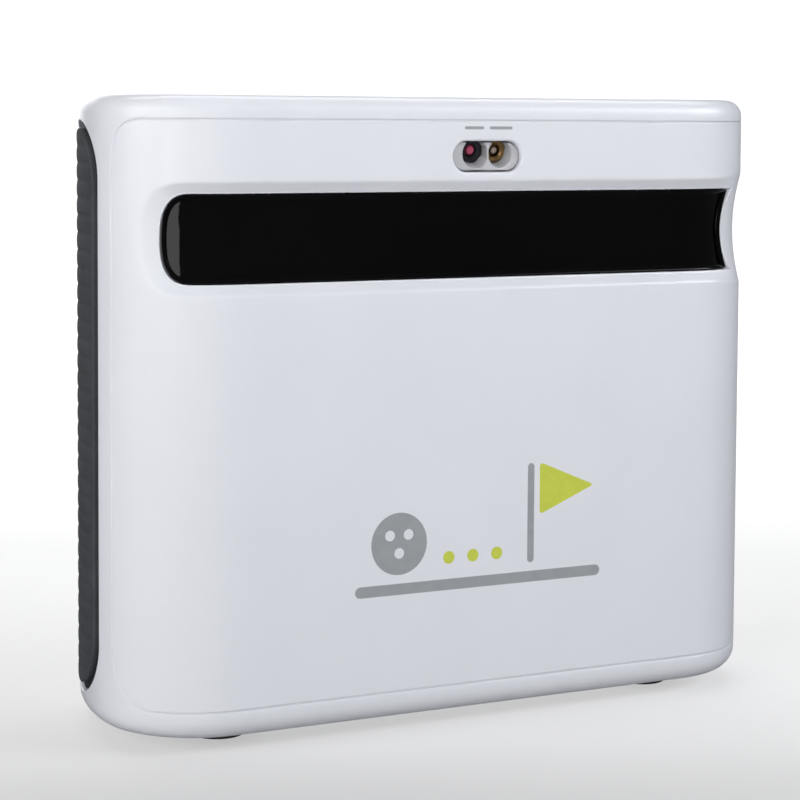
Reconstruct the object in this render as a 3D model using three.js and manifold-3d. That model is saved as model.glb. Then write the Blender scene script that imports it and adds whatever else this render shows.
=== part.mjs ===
// A golf launch monitor: a free-standing box that photographs a struck ball through its window band.
// Millimetres, +Z up, front towards -Y, origin on the table under the middle of the box.
import * as THREE from "three";
import { mergeVertices } from "three/addons/utils/BufferGeometryUtils.js";
import Module from "manifold-3d";

const wasm = await Module();
wasm.setup();

// ---------- Driving dimensions ----------
const WIDTH = 171.45; // over the grip pads
const DEPTH = 63.5;
const HEIGHT = 146.05; // standing on its feet
const FOOT_GAP = 2.95; // underside of the shell above the table
const GRIP_PROUD = 0.42; // the pads stand out of the shell's ends by this much
const GAP = 0.3; // clearance between pieces that touch
const END_SHY = 0.02; // a lofted plate's last section stops this much short of its rounded end

// Plan outline of the shell: flat front and back, round front corners, elliptical rear corners.
const SHELL_HALF = WIDTH / 2 - GRIP_PROUD;
const CORNER = 25; // front corner radius, and the rear corners' half width
const FLAT_HALF = SHELL_HALF - CORNER;
const CORNER_Y = -DEPTH / 2 + CORNER; // where the ends are widest
const REAR_CORNER = DEPTH / 2 - CORNER_Y; // the rear corners' other half axis
const TOP_EDGE = 4; // edge rounding
const BOTTOM_EDGE = 5.5;
const SPLIT_Y = 15; // the front and rear shells part here, under the grips

const SHELL_Z0 = FOOT_GAP;
const SHELL_Z1 = HEIGHT;
const FRONT_WALL = 4.9; // with the fascia's pocket and the grips' pockets cut into it
const REAR_WALL = 2.6;

// Front fascia panel, laid out on the wall: s runs along the plan outline from the middle.
const FASCIA_THICK = 3;
const FASCIA_HALF = FLAT_HALF + CORNER * THREE.MathUtils.degToRad(72);
const FASCIA_Z0 = SHELL_Z0 + 6.8;
const FASCIA_Z1 = SHELL_Z0 + 137.5;
const FASCIA_TOP_ROUND = 8;
const FASCIA_BOTTOM_ROUND = 12;

// Window band.
const WINDOW_Z = SHELL_Z0 + 111.4;
const WINDOW_RISE = 10; // half height of the black area
const WINDOW_LEFT = -79.6;
const WINDOW_RIGHT = 71.2; // at mid height; the end is hollow
const WINDOW_HOLLOW = 4.6;
const RECESS_DEPTH = 1.85;
const RECESS_RISE = 12.55;
const RECESS_LEFT = -84;
const RECESS_FADE = [94, 96.5]; // the recess runs out between these places on the right end
const SCOOP_RISE = 13.4; // the finger scoop at the right end
const LENS_THICK = 2;
const GASKET_BEVEL = 1;

// Laser aperture, an oval above the window.
const APERTURE_X = 1.75;
const APERTURE_Z = SHELL_Z0 + 129.45;
const APERTURE_HALF = 9.1;
const APERTURE_RISE = 3.55;
const BARREL_TILT = THREE.MathUtils.degToRad(14);

// Grips.
const GRIP_Y = 6.75;
const GRIP_HALF = 15;
const GRIP_Z0 = SHELL_Z0 + 6.2;
const GRIP_Z1 = SHELL_Z0 + 137;
const GRIP_ROUND = 13.5; // height of its elliptical ends
const BEZEL_SINK = 0.8;
const BEZEL_THICK = 1.7;
const PAD_INSET = 1.5;
const RIB_PITCH = 4;
const RIB_DEPTH = 0.4;

// Feet.
const FOOT_X = 58;
const FRONT_FOOT_Y = -13;
const REAR_FOOT_Y = 21;
const WHEEL_R = 9;
const WHEEL_Z = [2.75, 6.6];
const STEM_R = 3;
const STEM_FLAT = 2.3; // the shank has two flats, so it slides but can't turn
const STEM_TOP = 24;
const FOOT_PAD_R = 6;
const FOOT_PAD_TOP = 1.4;
const FOOT_BOSS_TOP = 20;
const REAR_BAR_X = 18; // the rear foot is a bar with round ends, held by two pegs
const REAR_BAR_R = 4;
const REAR_PEG_X = 14;
const REAR_PEG_R = 2;

// Inside: the chassis plate stands across the box, boards behind it, cameras in front.
const CHASSIS_Y = [-6, -4];
const CHASSIS_BOLTS = [[-46, 20], [46, 20], [-46, 134], [46, 134]];
const COVER_BOLTS = [[-58, 16], [58, 16], [-58, 132], [58, 132]];
const BOARD_STANDOFFS = [[-50, 44], [-50, 96], [50, 44], [50, 96]];
const IO_STANDOFFS = [[-49, 104], [-3, 104]];
const CAMERA_X = 44;
const STROBE_X = 13;
const BOARD = 1.6; // circuit board thickness
const BARREL_R = 2.6;
const BARREL_LENGTH = 12;
const BARREL_FACE_Y = -27.8;
const BARREL_Z = APERTURE_Z + 1.2;
const POINTER_X = APERTURE_X - 2.35;
const ALIGNMENT_X = APERTURE_X + 3.95;

// Controls on the back.
const CONTROL_Z = 122;
const POWER = { x: -44, radius: 5.5 };
const MODE = { x: -27, radius: 4 };
const LIGHT_XS = [-14, -8, -2];
const IO_BOARD_Y = 20.4;
const BUTTON_FACE_Y = 31.55;
const USB = { x: -35, z: 104, wide: 8, high: 3 };

// ---------- Materials ----------
const finish = (color, roughness, metalness = 0) =>
  new THREE.MeshStandardMaterial({ color, roughness, metalness });
const white = finish(0xe9eaf0, 0.32);
const black = finish(0x0a0a0c, 0.06);
const dark = finish(0x36373c, 0.5);
const rubber = finish(0x484b50, 0.85);
const metal = finish(0xb8bcc2, 0.35, 1);
const brass = finish(0xb08a45, 0.35, 1);
const board = finish(0x1e5c3a, 0.55);
const clear = finish(0xdfe8ee, 0.15);
const red = finish(0xc03a5c, 0.15);
const copperLead = finish(0x2a2a2e, 0.6);

// ---------- Solids ----------
const model = new THREE.Group();

const range = (from, to, steps) =>
  Array.from({ length: steps + 1 }, (_, i) => from + ((to - from) * i) / steps);

function solid(geometry) {
  const bare = geometry.clone();
  bare.deleteAttribute("normal");
  bare.deleteAttribute("uv");
  const merged = mergeVertices(bare, 1e-4);
  return new wasm.Manifold(
    new wasm.Mesh({
      numProp: 3,
      vertProperties: new Float32Array(merged.attributes.position.array),
      triVerts: new Uint32Array(merged.index.array),
    }),
  );
}

function geometryOf(body) {
  const mesh = body.getMesh();
  return new THREE.BufferGeometry()
    .setAttribute("position", new THREE.BufferAttribute(mesh.vertProperties, 3))
    .setIndex(new THREE.BufferAttribute(mesh.triVerts, 1));
}

function add(name, body, material) {
  const mesh = new THREE.Mesh(geometryOf(body), material);
  mesh.name = name;
  model.add(mesh);
}

function box(x0, x1, y0, y1, z0, z1) {
  const g = new THREE.BoxGeometry(x1 - x0, y1 - y0, z1 - z0);
  return solid(g.translate((x0 + x1) / 2, (y0 + y1) / 2, (z0 + z1) / 2));
}

// A cylinder standing along +Z from z0 to z1.
function post(x, y, z0, z1, radius, sides = 20) {
  const g = new THREE.CylinderGeometry(radius, radius, z1 - z0, sides);
  return solid(g.rotateX(Math.PI / 2).translate(x, y, (z0 + z1) / 2));
}

// A cylinder lying along +Y from y0 to y1.
function peg(x, z, y0, y1, radius, sides = 16) {
  const g = new THREE.CylinderGeometry(radius, radius, y1 - y0, sides);
  return solid(g.translate(x, (y0 + y1) / 2, z));
}

const mirrorX = (body) => body.mirror([1, 0, 0]);

// Joins sections that have the same number of points. A section is {flat, place}: its outline as
// 2-D points, and the function that puts such a point in space. With ladder, the end faces join
// each point to the one opposite, which suits a plate whose end face isn't flat.
function loft(sections, ladder = false) {
  const count = sections[0].flat.length;
  const position = [];
  const index = [];
  for (const section of sections)
    for (const p of section.flat) position.push(...section.place(p[0], p[1]));
  for (let i = 0; i + 1 < sections.length; i++)
    for (let j = 0; j < count; j++) {
      const a = i * count + j;
      const b = i * count + ((j + 1) % count);
      index.push(a, b, a + count, b, b + count, a + count);
    }
  const cap = (section, start, turned) => {
    const outline = section.flat.map((p) => new THREE.Vector2(p[0], p[1]));
    const clockwise = THREE.ShapeUtils.isClockWise(outline);
    const flip = ladder ? turned : turned !== clockwise;
    const triangles = ladder
      ? range(0, count / 2 - 2, count / 2 - 2).flatMap((i) => [
          [i, i + 1, count - 2 - i],
          [i, count - 2 - i, count - 1 - i],
        ])
      : THREE.ShapeUtils.triangulateShape(outline, []);
    for (const [a, b, c] of triangles)
      index.push(start + a, start + (flip ? c : b), start + (flip ? b : c));
  };
  cap(sections[0], 0, true);
  cap(sections.at(-1), (sections.length - 1) * count, false);
  const g = new THREE.BufferGeometry();
  g.setAttribute("position", new THREE.Float32BufferAttribute(position, 3));
  g.setIndex(index);
  const body = solid(g);
  if (body.volume() > 0) return body;
  for (let i = 0; i < index.length; i += 3)
    [index[i + 1], index[i + 2]] = [index[i + 2], index[i + 1]];
  g.setIndex(index);
  return solid(g);
}

// ---------- The shell's wall ----------
// Point and outward normal of the plan outline at distance s from the front's middle, up to the
// widest place of the ends.
function frontWall(s) {
  const side = Math.sign(s) || 1;
  const turn = Math.max(0, Math.abs(s) - FLAT_HALF) / CORNER;
  const along = Math.min(Math.abs(s), FLAT_HALF);
  const nx = Math.sin(turn);
  const ny = -Math.cos(turn);
  return { x: side * (along + CORNER * nx), y: CORNER_Y + CORNER * ny, nx: side * nx, ny };
}

// Point and normal of the right end at depth y.
function endWall(y) {
  if (y < CORNER_Y) {
    const ny = (y - CORNER_Y) / CORNER;
    const nx = Math.sqrt(1 - ny * ny);
    return { x: FLAT_HALF + CORNER * nx, y, nx, ny };
  }
  const v = (y - CORNER_Y) / REAR_CORNER;
  const u = Math.sqrt(Math.max(0, 1 - v * v));
  const n = new THREE.Vector2(u / CORNER, v / REAR_CORNER).normalize();
  return { x: FLAT_HALF + CORNER * u, y, nx: n.x, ny: n.y };
}

const onFront = (s) => (depth, z) => {
  const w = frontWall(s);
  return [w.x - w.nx * depth, w.y - w.ny * depth, z];
};
const onEnd = (y) => (depth, z) => {
  const w = endWall(y);
  return [w.x - w.nx * depth, w.y - w.ny * depth, z];
};

// The whole plan outline, moved in by inset(turn), where turn is 0 at the front and 1 at the back.
function planRing(inset) {
  const steps = 10;
  const right = [];
  for (const t of range(0, Math.PI / 2, steps)) {
    const w = frontWall(FLAT_HALF + CORNER * t);
    right.push([w.x - w.nx * inset(0), w.y - w.ny * inset(0)]);
  }
  for (const t of range(0, Math.PI / 2, steps).slice(1)) {
    const n = new THREE.Vector2(Math.cos(t) / CORNER, Math.sin(t) / REAR_CORNER).normalize();
    const d = inset(t / (Math.PI / 2));
    const x = FLAT_HALF + CORNER * Math.cos(t);
    const y = CORNER_Y + REAR_CORNER * Math.sin(t);
    right.push([x - n.x * d, y - n.y * d]);
  }
  const left = right.map(([x, y]) => [-x, y]).reverse();
  return [...right, ...left];
}

// A body with the shell's plan, lofted upwards through levels of {z, inset}.
function shellBody(levels) {
  return loft(
    levels.map(({ z, inset }) => ({ flat: planRing(inset), place: (x, y) => [x, y, z] })),
  );
}

function outerBody() {
  const arc = range(0, Math.PI / 2, 3);
  const bottom = arc.map((t) => {
    const inset = BOTTOM_EDGE * (1 - Math.sin(t));
    return { z: SHELL_Z0 + BOTTOM_EDGE * (1 - Math.cos(t)), inset: () => inset };
  });
  const top = arc.map((t) => {
    const inset = TOP_EDGE * (1 - Math.cos(t));
    return { z: SHELL_Z1 - TOP_EDGE * (1 - Math.sin(t)), inset: () => inset };
  });
  return shellBody([...bottom, ...top]);
}

function cavityBody() {
  const inset = (turn) =>
    FRONT_WALL + (REAR_WALL - FRONT_WALL) * THREE.MathUtils.smoothstep(turn, 0.6, 0.95);
  return shellBody([
    { z: SHELL_Z0 + REAR_WALL, inset: (turn) => inset(turn) + 2 },
    { z: SHELL_Z0 + REAR_WALL + 3, inset },
    { z: SHELL_Z1 - REAR_WALL - 2, inset },
    { z: SHELL_Z1 - REAR_WALL, inset: (turn) => inset(turn) + 1.5 },
  ]);
}

// ---------- Fascia, window and recess ----------
// Lower and upper edge of the fascia at s, grown outwards by grow.
function fasciaEdges(s, grow) {
  const round = (radius) => {
    const into = Math.abs(s) - (FASCIA_HALF + grow - radius);
    return into <= 0 ? 0 : radius - Math.sqrt(Math.max(0, radius * radius - into * into));
  };
  return [
    FASCIA_Z0 - grow + round(FASCIA_BOTTOM_ROUND),
    FASCIA_Z1 + grow - round(FASCIA_TOP_ROUND),
  ];
}

function fasciaBody(grow, outer, inner) {
  const half = FASCIA_HALF + grow;
  const round = (t) => FASCIA_BOTTOM_ROUND * (1 - Math.sin((t * Math.PI) / 2));
  const end = range(0, 1, 7).map((t) => half - round(t) - END_SHY);
  const corner = range(FLAT_HALF, half - FASCIA_BOTTOM_ROUND, 6).slice(0, -1);
  const right = [...corner, ...end];
  const stations = [...right.map((s) => -s).reverse(), 0, ...right];
  return loft(
    stations.map((s) => {
      const [z0, z1] = fasciaEdges(s, grow);
      return { flat: [[outer, z0], [outer, z1], [inner, z1], [inner, z0]], place: onFront(s) };
    }),
  );
}

// A rounded left end: how far an outline of this rise still reaches up at s.
function endRise(s, left, rise, length) {
  const into = (left + length - s) / length;
  if (into <= 0) return rise;
  return rise * Math.pow(Math.max(0, 1 - Math.pow(into, 2.6)), 1 / 2.6);
}

// The window's rise at s, and where its hollow right end cuts in.
const windowEnd = (dz) => WINDOW_RIGHT + WINDOW_HOLLOW * (dz / WINDOW_RISE) ** 2;

// The recess that leads down to the window, and becomes a finger scoop on the right.
function recessBody() {
  const leftEnd = range(0, 1, 6).map((t) => RECESS_LEFT + 0.1 + 12 * (1 - Math.cos((t * Math.PI) / 2)));
  const stations = [
    ...leftEnd,
    -66,
    -FLAT_HALF,
    FLAT_HALF,
    ...range(64, RECESS_FADE[0], 10),
    RECESS_FADE[1],
  ];
  const levels = range(-1, 1, 12);
  return loft(
    stations.map((s) => {
      const scoop = THREE.MathUtils.smoothstep(s, 66, 78);
      const rise = endRise(s, RECESS_LEFT, RECESS_RISE, 12.4) + scoop * (SCOOP_RISE - RECESS_RISE);
      const fade = 1 - THREE.MathUtils.smoothstep(s, ...RECESS_FADE);
      const start = Math.min(1, (s - RECESS_LEFT) / 4.4);
      const slope = RECESS_RISE - WINDOW_RISE;
      const bed = levels.map((v) => {
        const flatBed = Math.min(1, ((1 - Math.abs(v)) * rise) / slope) * start;
        const roundBed = 1 - v * v;
        const depth = RECESS_DEPTH * fade * (flatBed + scoop * (roundBed - flatBed));
        return [depth, WINDOW_Z + v * rise];
      });
      return {
        flat: [[-2, WINDOW_Z - rise], ...bed, [-2, WINDOW_Z + rise]],
        place: onFront(s),
      };
    }),
  );
}

// A plate on the wall between two depths, with the window's outline moved in by inset.
function windowBody(inset, outer, inner) {
  const left = WINDOW_LEFT + inset;
  const rise = WINDOW_RISE - inset;
  const leftEnd = range(0, 1, 7).map((t) => left + 0.05 + 8 * (1 - Math.cos((t * Math.PI) / 2)));
  const stations = [...leftEnd, -FLAT_HALF - 4, -FLAT_HALF, FLAT_HALF, 64, 68, WINDOW_RIGHT - inset];
  const levels = range(-1, 1, 8);
  const column = (s, dz) => (s < WINDOW_RIGHT - inset ? s : windowEnd(dz) - inset);
  const sections = stations.map((s) => {
    const r = endRise(s, left, rise, 8);
    const low = levels.map((v) => [inner, v * r]);
    const high = levels.map((v) => [outer, -v * r]);
    return {
      flat: [...low, ...high],
      place: (depth, dz) => onFront(column(s, dz))(depth, WINDOW_Z + dz),
    };
  });
  return loft(sections, true);
}

// An oval bar along Y: the aperture's outline, moved out by grow.
function ovalBody(grow, y0, y1) {
  const rise = APERTURE_RISE + grow;
  const half = APERTURE_HALF - APERTURE_RISE;
  const shape = new THREE.Shape();
  shape.absarc(half, 0, rise, -Math.PI / 2, Math.PI / 2);
  shape.absarc(-half, 0, rise, Math.PI / 2, (3 * Math.PI) / 2);
  const g = new THREE.ExtrudeGeometry(shape, { depth: y1 - y0, bevelEnabled: false, curveSegments: 10 });
  return solid(g.rotateX(Math.PI / 2).translate(APERTURE_X, y1, APERTURE_Z));
}

// ---------- Grips ----------
// Lower and upper edge of the grip at depth y, moved in by inset.
function gripEdges(y, inset) {
  const half = GRIP_HALF - inset;
  const v = Math.min(1, Math.abs(y - GRIP_Y) / half);
  const drop = GRIP_ROUND * (1 - Math.sqrt(1 - v * v));
  return [GRIP_Z0 + inset + drop, GRIP_Z1 - inset - drop];
}

function gripBody(inset, outer, inner) {
  const half = GRIP_HALF - inset - END_SHY;
  const stations = range(-1, 1, 16).map((t) => GRIP_Y + half * Math.sin((t * Math.PI) / 2));
  return loft(
    stations.map((y) => {
      const [z0, z1] = gripEdges(y, inset);
      return { flat: [[outer, z0], [outer, z1], [inner, z1], [inner, z0]], place: onEnd(y) };
    }),
  );
}

// The rubber pad: a plate whose outer face is scalloped into level ribs.
function gripPadBody() {
  const inset = PAD_INSET;
  const half = GRIP_HALF - inset - END_SHY;
  const stations = range(-1, 1, 8).map((t) => GRIP_Y + half * Math.sin((t * Math.PI) / 2));
  const [low, high] = gripEdges(GRIP_Y, inset);
  const ribs = Math.round((high - low) / RIB_PITCH);
  return loft(
    stations.map((y) => {
      const [z0, z1] = gripEdges(y, inset);
      const face = range(0, 1, ribs * 2).map((t, i) => [
        -GRIP_PROUD + (i % 2 ? 0 : RIB_DEPTH),
        z0 + t * (z1 - z0),
      ]);
      return { flat: [...face, [BEZEL_SINK - GAP, z1], [BEZEL_SINK - GAP, z0]], place: onEnd(y) };
    }),
  );
}

// ---------- Outer pieces ----------
const recess = recessBody();
const windowHole = windowBody(0, -3, 8);
const apertureHole = ovalBody(0, -40, -20);
const rightGripPocket = gripBody(-GAP, -2, BEZEL_SINK + BEZEL_THICK + GAP);
const gripPockets = rightGripPocket.add(mirrorX(rightGripPocket));
const shell = outerBody().subtract(cavityBody()).subtract(gripPockets);
const frontHalf = box(-100, 100, -50, SPLIT_Y, -10, 160);
const rearHalf = box(-100, 100, SPLIT_Y + GAP, 50, -10, 160);

// A foot's boss: a sleeve with the stem's flat-sided bore, over a pocket for the wheel.
function stemSection(x, z0, z1, grow) {
  const round = post(x, FRONT_FOOT_Y, z0, z1, STEM_R + grow, 20);
  const flats = box(
    x - 10, x + 10, FRONT_FOOT_Y - STEM_FLAT - grow, FRONT_FOOT_Y + STEM_FLAT + grow, z0 - 1, z1 + 1,
  );
  return round.intersect(flats);
}

function frontHousing() {
  let body = shell.intersect(frontHalf);
  const ceiling = WHEEL_Z[1] + GAP;
  for (const x of [-FOOT_X, FOOT_X]) {
    body = body
      .add(post(x, FRONT_FOOT_Y, SHELL_Z0 + 1, ceiling + 2, WHEEL_R + 2.6, 32))
      .add(post(x, FRONT_FOOT_Y, ceiling, FOOT_BOSS_TOP, STEM_R + 2.6))
      .subtract(post(x, FRONT_FOOT_Y, -1, ceiling, WHEEL_R + 0.8, 32))
      .subtract(stemSection(x, 0, 40, GAP));
  }
  for (const [x, z] of CHASSIS_BOLTS) {
    body = body
      .add(peg(x, z, -27.5, CHASSIS_Y[0] - GAP, 3.5, 20))
      .subtract(peg(x, z, -20, 0, 1.5, 12));
  }
  return body
    .subtract(fasciaBody(GAP, -1, FASCIA_THICK + GAP))
    .subtract(recess)
    .subtract(windowBody(-1, -3, 8))
    .subtract(ovalBody(1.7, -40, -20));
}

function rearCover() {
  let body = shell.intersect(rearHalf);
  for (const [x, z] of COVER_BOLTS) {
    body = body
      .add(peg(x, z, 20.3, 29.6, 4.6, 20))
      .subtract(peg(x, z, 24, 40, 3.4, 20))
      .subtract(peg(x, z, 10, 30, 1.6, 12));
  }
  for (const { x, radius } of [POWER, MODE]) body = body.subtract(peg(x, CONTROL_Z, 20, 40, radius + GAP));
  for (const x of LIGHT_XS) body = body.subtract(peg(x, CONTROL_Z, 20, 40, 1.7, 12));
  return body
    .subtract(box(USB.x - 4.9, USB.x + 4.9, 20, 40, USB.z - 2.4, USB.z + 2.4))
    .subtract(post(-REAR_PEG_X, REAR_FOOT_Y, 0, 12, REAR_PEG_R + GAP, 16))
    .subtract(post(REAR_PEG_X, REAR_FOOT_Y, 0, 12, REAR_PEG_R + GAP, 16));
}

add("front_housing", frontHousing(), white);
add("rear_cover", rearCover(), white);
add(
  "front_fascia",
  fasciaBody(0, 0, FASCIA_THICK).subtract(recess).subtract(windowHole).subtract(apertureHole),
  white,
);
add("window_lens", windowBody(GAP, RECESS_DEPTH + 1.05, RECESS_DEPTH + 1.05 + LENS_THICK), black);
add(
  "window_gasket",
  windowBody(GAP, RECESS_DEPTH, RECESS_DEPTH + 0.75).subtract(windowBody(GAP + GASKET_BEVEL, -3, 8)),
  black,
);

// ---------- Laser aperture ----------
// A bar along a laser's axis, which points forwards and down from its face.
function laserBar(x, radius, from, to, sides) {
  const g = new THREE.CylinderGeometry(radius, radius, to - from, sides);
  g.translate(0, (from + to) / 2, 0).rotateX(BARREL_TILT);
  return solid(g.translate(x, BARREL_FACE_Y, BARREL_Z));
}

function laser(name, x, bore, material, lensMaterial) {
  const barrel = laserBar(x, BARREL_R, 0, BARREL_LENGTH, 20).subtract(laserBar(x, bore, -1, 1.6, 16));
  add(name + "_laser_barrel", barrel, material);
  add(name + "_laser_lens", laserBar(x, bore - GAP, 0.5, 1.3, 14), lensMaterial);
}

laser("pointer", POINTER_X, 1.5, dark, red);
laser("alignment", ALIGNMENT_X, 1.4, brass, clear);
const barrelBores = laserBar(POINTER_X, BARREL_R + GAP, -10, 16, 20).add(
  laserBar(ALIGNMENT_X, BARREL_R + GAP, -10, 16, 20),
);
add("aperture_shroud", ovalBody(-GAP, -30.4, -27).subtract(barrelBores), white);
add("laser_bracket", box(-5.5, 10.5, -25.5, -19, 127.6, 142).subtract(barrelBores), metal);

// ---------- Grips ----------
const bezel = gripBody(0, BEZEL_SINK, BEZEL_SINK + BEZEL_THICK);
const pad = gripPadBody();
add("right_grip_bezel", bezel, dark);
add("left_grip_bezel", mirrorX(bezel), dark);
add("right_grip_pad", pad, rubber);
add("left_grip_pad", mirrorX(pad), rubber);

// ---------- Feet ----------
for (const [side, x] of [["left", -FOOT_X], ["right", FOOT_X]]) {
  const wheel = post(x, FRONT_FOOT_Y, ...WHEEL_Z, WHEEL_R, 32).subtract(
    post(x, FRONT_FOOT_Y, 0, 10, STEM_R + GAP, 20),
  );
  add(side + "_levelling_wheel", wheel, dark);
  const flange = post(x, FRONT_FOOT_Y, FOOT_PAD_TOP + GAP, WHEEL_Z[0] - GAP, FOOT_PAD_R - 1, 20);
  add(side + "_levelling_stem", stemSection(x, FOOT_PAD_TOP + GAP, STEM_TOP, 0).add(flange), metal);
  add(side + "_levelling_foot_pad", post(x, FRONT_FOOT_Y, 0, FOOT_PAD_TOP, FOOT_PAD_R), rubber);
}

function rearFootPad() {
  const shape = new THREE.Shape();
  shape.absarc(REAR_BAR_X, 0, REAR_BAR_R, -Math.PI / 2, Math.PI / 2);
  shape.absarc(-REAR_BAR_X, 0, REAR_BAR_R, Math.PI / 2, (3 * Math.PI) / 2);
  const depth = FOOT_GAP - GAP;
  const g = new THREE.ExtrudeGeometry(shape, { depth, bevelEnabled: false, curveSegments: 8 });
  return solid(g.translate(0, REAR_FOOT_Y, 0))
    .add(post(-REAR_PEG_X, REAR_FOOT_Y, 1, 8, REAR_PEG_R, 16))
    .add(post(REAR_PEG_X, REAR_FOOT_Y, 1, 8, REAR_PEG_R, 16));
}
add("rear_foot_pad", rearFootPad(), rubber);

// ---------- Controls on the back ----------
function button(name, { x, radius }) {
  const cap = peg(x, CONTROL_Z, 27, BUTTON_FACE_Y, radius)
    .add(peg(x, CONTROL_Z, 26.9, 28.4, radius + 1.2))
    .add(peg(x, CONTROL_Z, 26.3, 27.5, 1.8, 16));
  add(name + "_button", cap, white);
  const body = box(x - 3, x + 3, IO_BOARD_Y + BOARD + GAP, 24.2, CONTROL_Z - 3, CONTROL_Z + 3);
  add(name + "_switch", body.add(peg(x, CONTROL_Z, 24, 25.2, 1.6, 16)), dark);
}
button("power", POWER);
button("mode", MODE);

LIGHT_XS.forEach((x, i) => {
  const pipe = peg(x, CONTROL_Z, 22.4, BUTTON_FACE_Y, 1.4, 16).add(peg(x, CONTROL_Z, 22.4, 28.6, 2.1, 16));
  add("status_light_pipe_" + (i + 1), pipe, clear);
});
add("io_board", box(-52, 4, IO_BOARD_Y, IO_BOARD_Y + BOARD, 98, 127), board);
const socket = { x0: USB.x - USB.wide / 2, x1: USB.x + USB.wide / 2, z0: USB.z - USB.high / 2 - 0.4 };
socket.z1 = socket.z0 + USB.high + 0.8;
add(
  "usb_connector",
  box(socket.x0, socket.x1, IO_BOARD_Y + BOARD + GAP, 31, socket.z0, socket.z1).subtract(
    box(socket.x0 + 0.5, socket.x1 - 0.5, 25.5, 40, socket.z0 + 0.5, socket.z1 - 0.5),
  ),
  metal,
);

// ---------- Chassis and what it carries ----------
function chassis() {
  let body = box(-70, 70, ...CHASSIS_Y, 12, 137);
  for (const [x, z] of CHASSIS_BOLTS) body = body.subtract(peg(x, z, -10, 0, 1.6, 12));
  for (const [x, z] of COVER_BOLTS)
    body = body.add(peg(x, z, -5, 20, 4, 20)).subtract(peg(x, z, 6, 30, 1.6, 12));
  for (const [x, z] of BOARD_STANDOFFS) body = body.add(peg(x, z, -5, -1.8, 2.5, 12));
  for (const [x, z] of IO_STANDOFFS) body = body.add(peg(x, z, -5, IO_BOARD_Y - GAP, 2.5, 12));
  for (const x of [-CAMERA_X, CAMERA_X, -STROBE_X, STROBE_X])
    body = body.add(box(x - 3, x + 3, -7.7, -5, 112, 118));
  for (const x of [-CAMERA_X, CAMERA_X]) body = body.subtract(box(x - 5, x + 5, -8, -3, 90, 93));
  return body
    .subtract(peg(30, 76, -8, -3, 2.5, 16))
    .subtract(box(-24, 24, -8, -3, 70, 88))
    .subtract(box(-12, 12, -8, -3, 127, 140))
    .add(box(-6, -2, -22, -5, 124.4, 127.3))
    .add(box(7, 11, -22, -5, 124.4, 127.3));
}
add("internal_chassis", chassis(), metal);

function screw(name, x, z, headY, tipY, radius, headRadius) {
  const body = peg(x, z, headY, headY + 1.8, headRadius, 12).add(peg(x, z, tipY, headY + 0.5, radius, 8));
  const slot = box(x - 2, x + 2, headY + 1.2, headY + 3, z - 0.4, z + 0.4);
  add(name, body.subtract(slot), metal);
}
CHASSIS_BOLTS.forEach(([x, z], i) => {
  screw("chassis_screw_" + (i + 1), x, z, CHASSIS_Y[1] + GAP, -14, 1.2, 2.8);
});
COVER_BOLTS.forEach(([x, z], i) => {
  screw("cover_screw_" + (i + 1), x, z, 24.3, 8, 1.3, 3);
});

for (const [side, sign] of [["left", -1], ["right", 1]]) {
  const cx = sign * CAMERA_X;
  const cameraBoard = box(cx - 13, cx + 13, -9.6, -8, WINDOW_Z - 9.5, WINDOW_Z + 9.5);
  add(side + "_camera_board", cameraBoard, board);
  const seat = box(cx - 7.5, cx + 7.5, -18.9, -9.9, WINDOW_Z - 7.5, WINDOW_Z + 7.5);
  add(side + "_camera_holder", seat.subtract(peg(cx, WINDOW_Z, -20, -14, 5.3, 20)), dark);
  const lens = peg(cx, WINDOW_Z, -24.5, -19.2, 6.5).add(peg(cx, WINDOW_Z, -20, -14.3, 5, 20));
  add(side + "_camera_lens", lens.subtract(peg(cx, WINDOW_Z, -26, -22.5, 4.6)), dark);

  const sx = sign * STROBE_X;
  const strobeBoard = box(sx - 10.5, sx + 10.5, -9.6, -8, WINDOW_Z - 9.5, WINDOW_Z + 9.5);
  add(side + "_strobe_board", strobeBoard, board);
  const cup = (w, y) => ({
    flat: [[-w, -w], [w, -w], [w, w], [-w, w]],
    place: (x, z) => [sx + x, y, WINDOW_Z + z],
  });
  const flare = loft([cup(4, -9), cup(4, -11), cup(9, -25)]);
  const block = box(sx - 10, sx + 10, -24, -9.9, WINDOW_Z - 9.6, WINDOW_Z + 9.6);
  add(side + "_strobe_reflector", block.subtract(flare), metal);

  const down = box(cx - 4, cx + 4, -7.7, -7.3, 91.4, 104);
  const back = box(cx - 4, cx + 4, -7.7, -1.8, 91, 91.4);
  add(side + "_camera_ribbon", down.add(back), copperLead);
}

const BOARD_Y = -1.5;
add("main_board", box(-55, 55, BOARD_Y, BOARD_Y + BOARD, 40, 100), board);
const parts = BOARD_Y + BOARD + GAP;
let fins = box(-20, 20, parts, parts + 3, 58, 94);
for (const x of range(-18.5, 18.5, 7))
  fins = fins.add(box(x - 0.9, x + 0.9, parts + 2, parts + 10, 58, 94));
add("heatsink", fins, metal);
add("wifi_module", box(28, 46, parts, parts + 2.6, 68, 92), metal);
add("wifi_antenna", box(-50, -36, parts, parts + 1, 60, 92), copperLead);

add("battery_pack", box(-36, 36, -24.5, -7.8, 24, 64), black);
const tray = box(-38, 38, -7.5, -6.3, 21.8, 66)
  .add(box(-38, 38, -24, -7, 21.8, 23.7))
  .add(box(-38, 10, -24, -7, 64.3, 66));
add("battery_tray", tray, dark);

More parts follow.
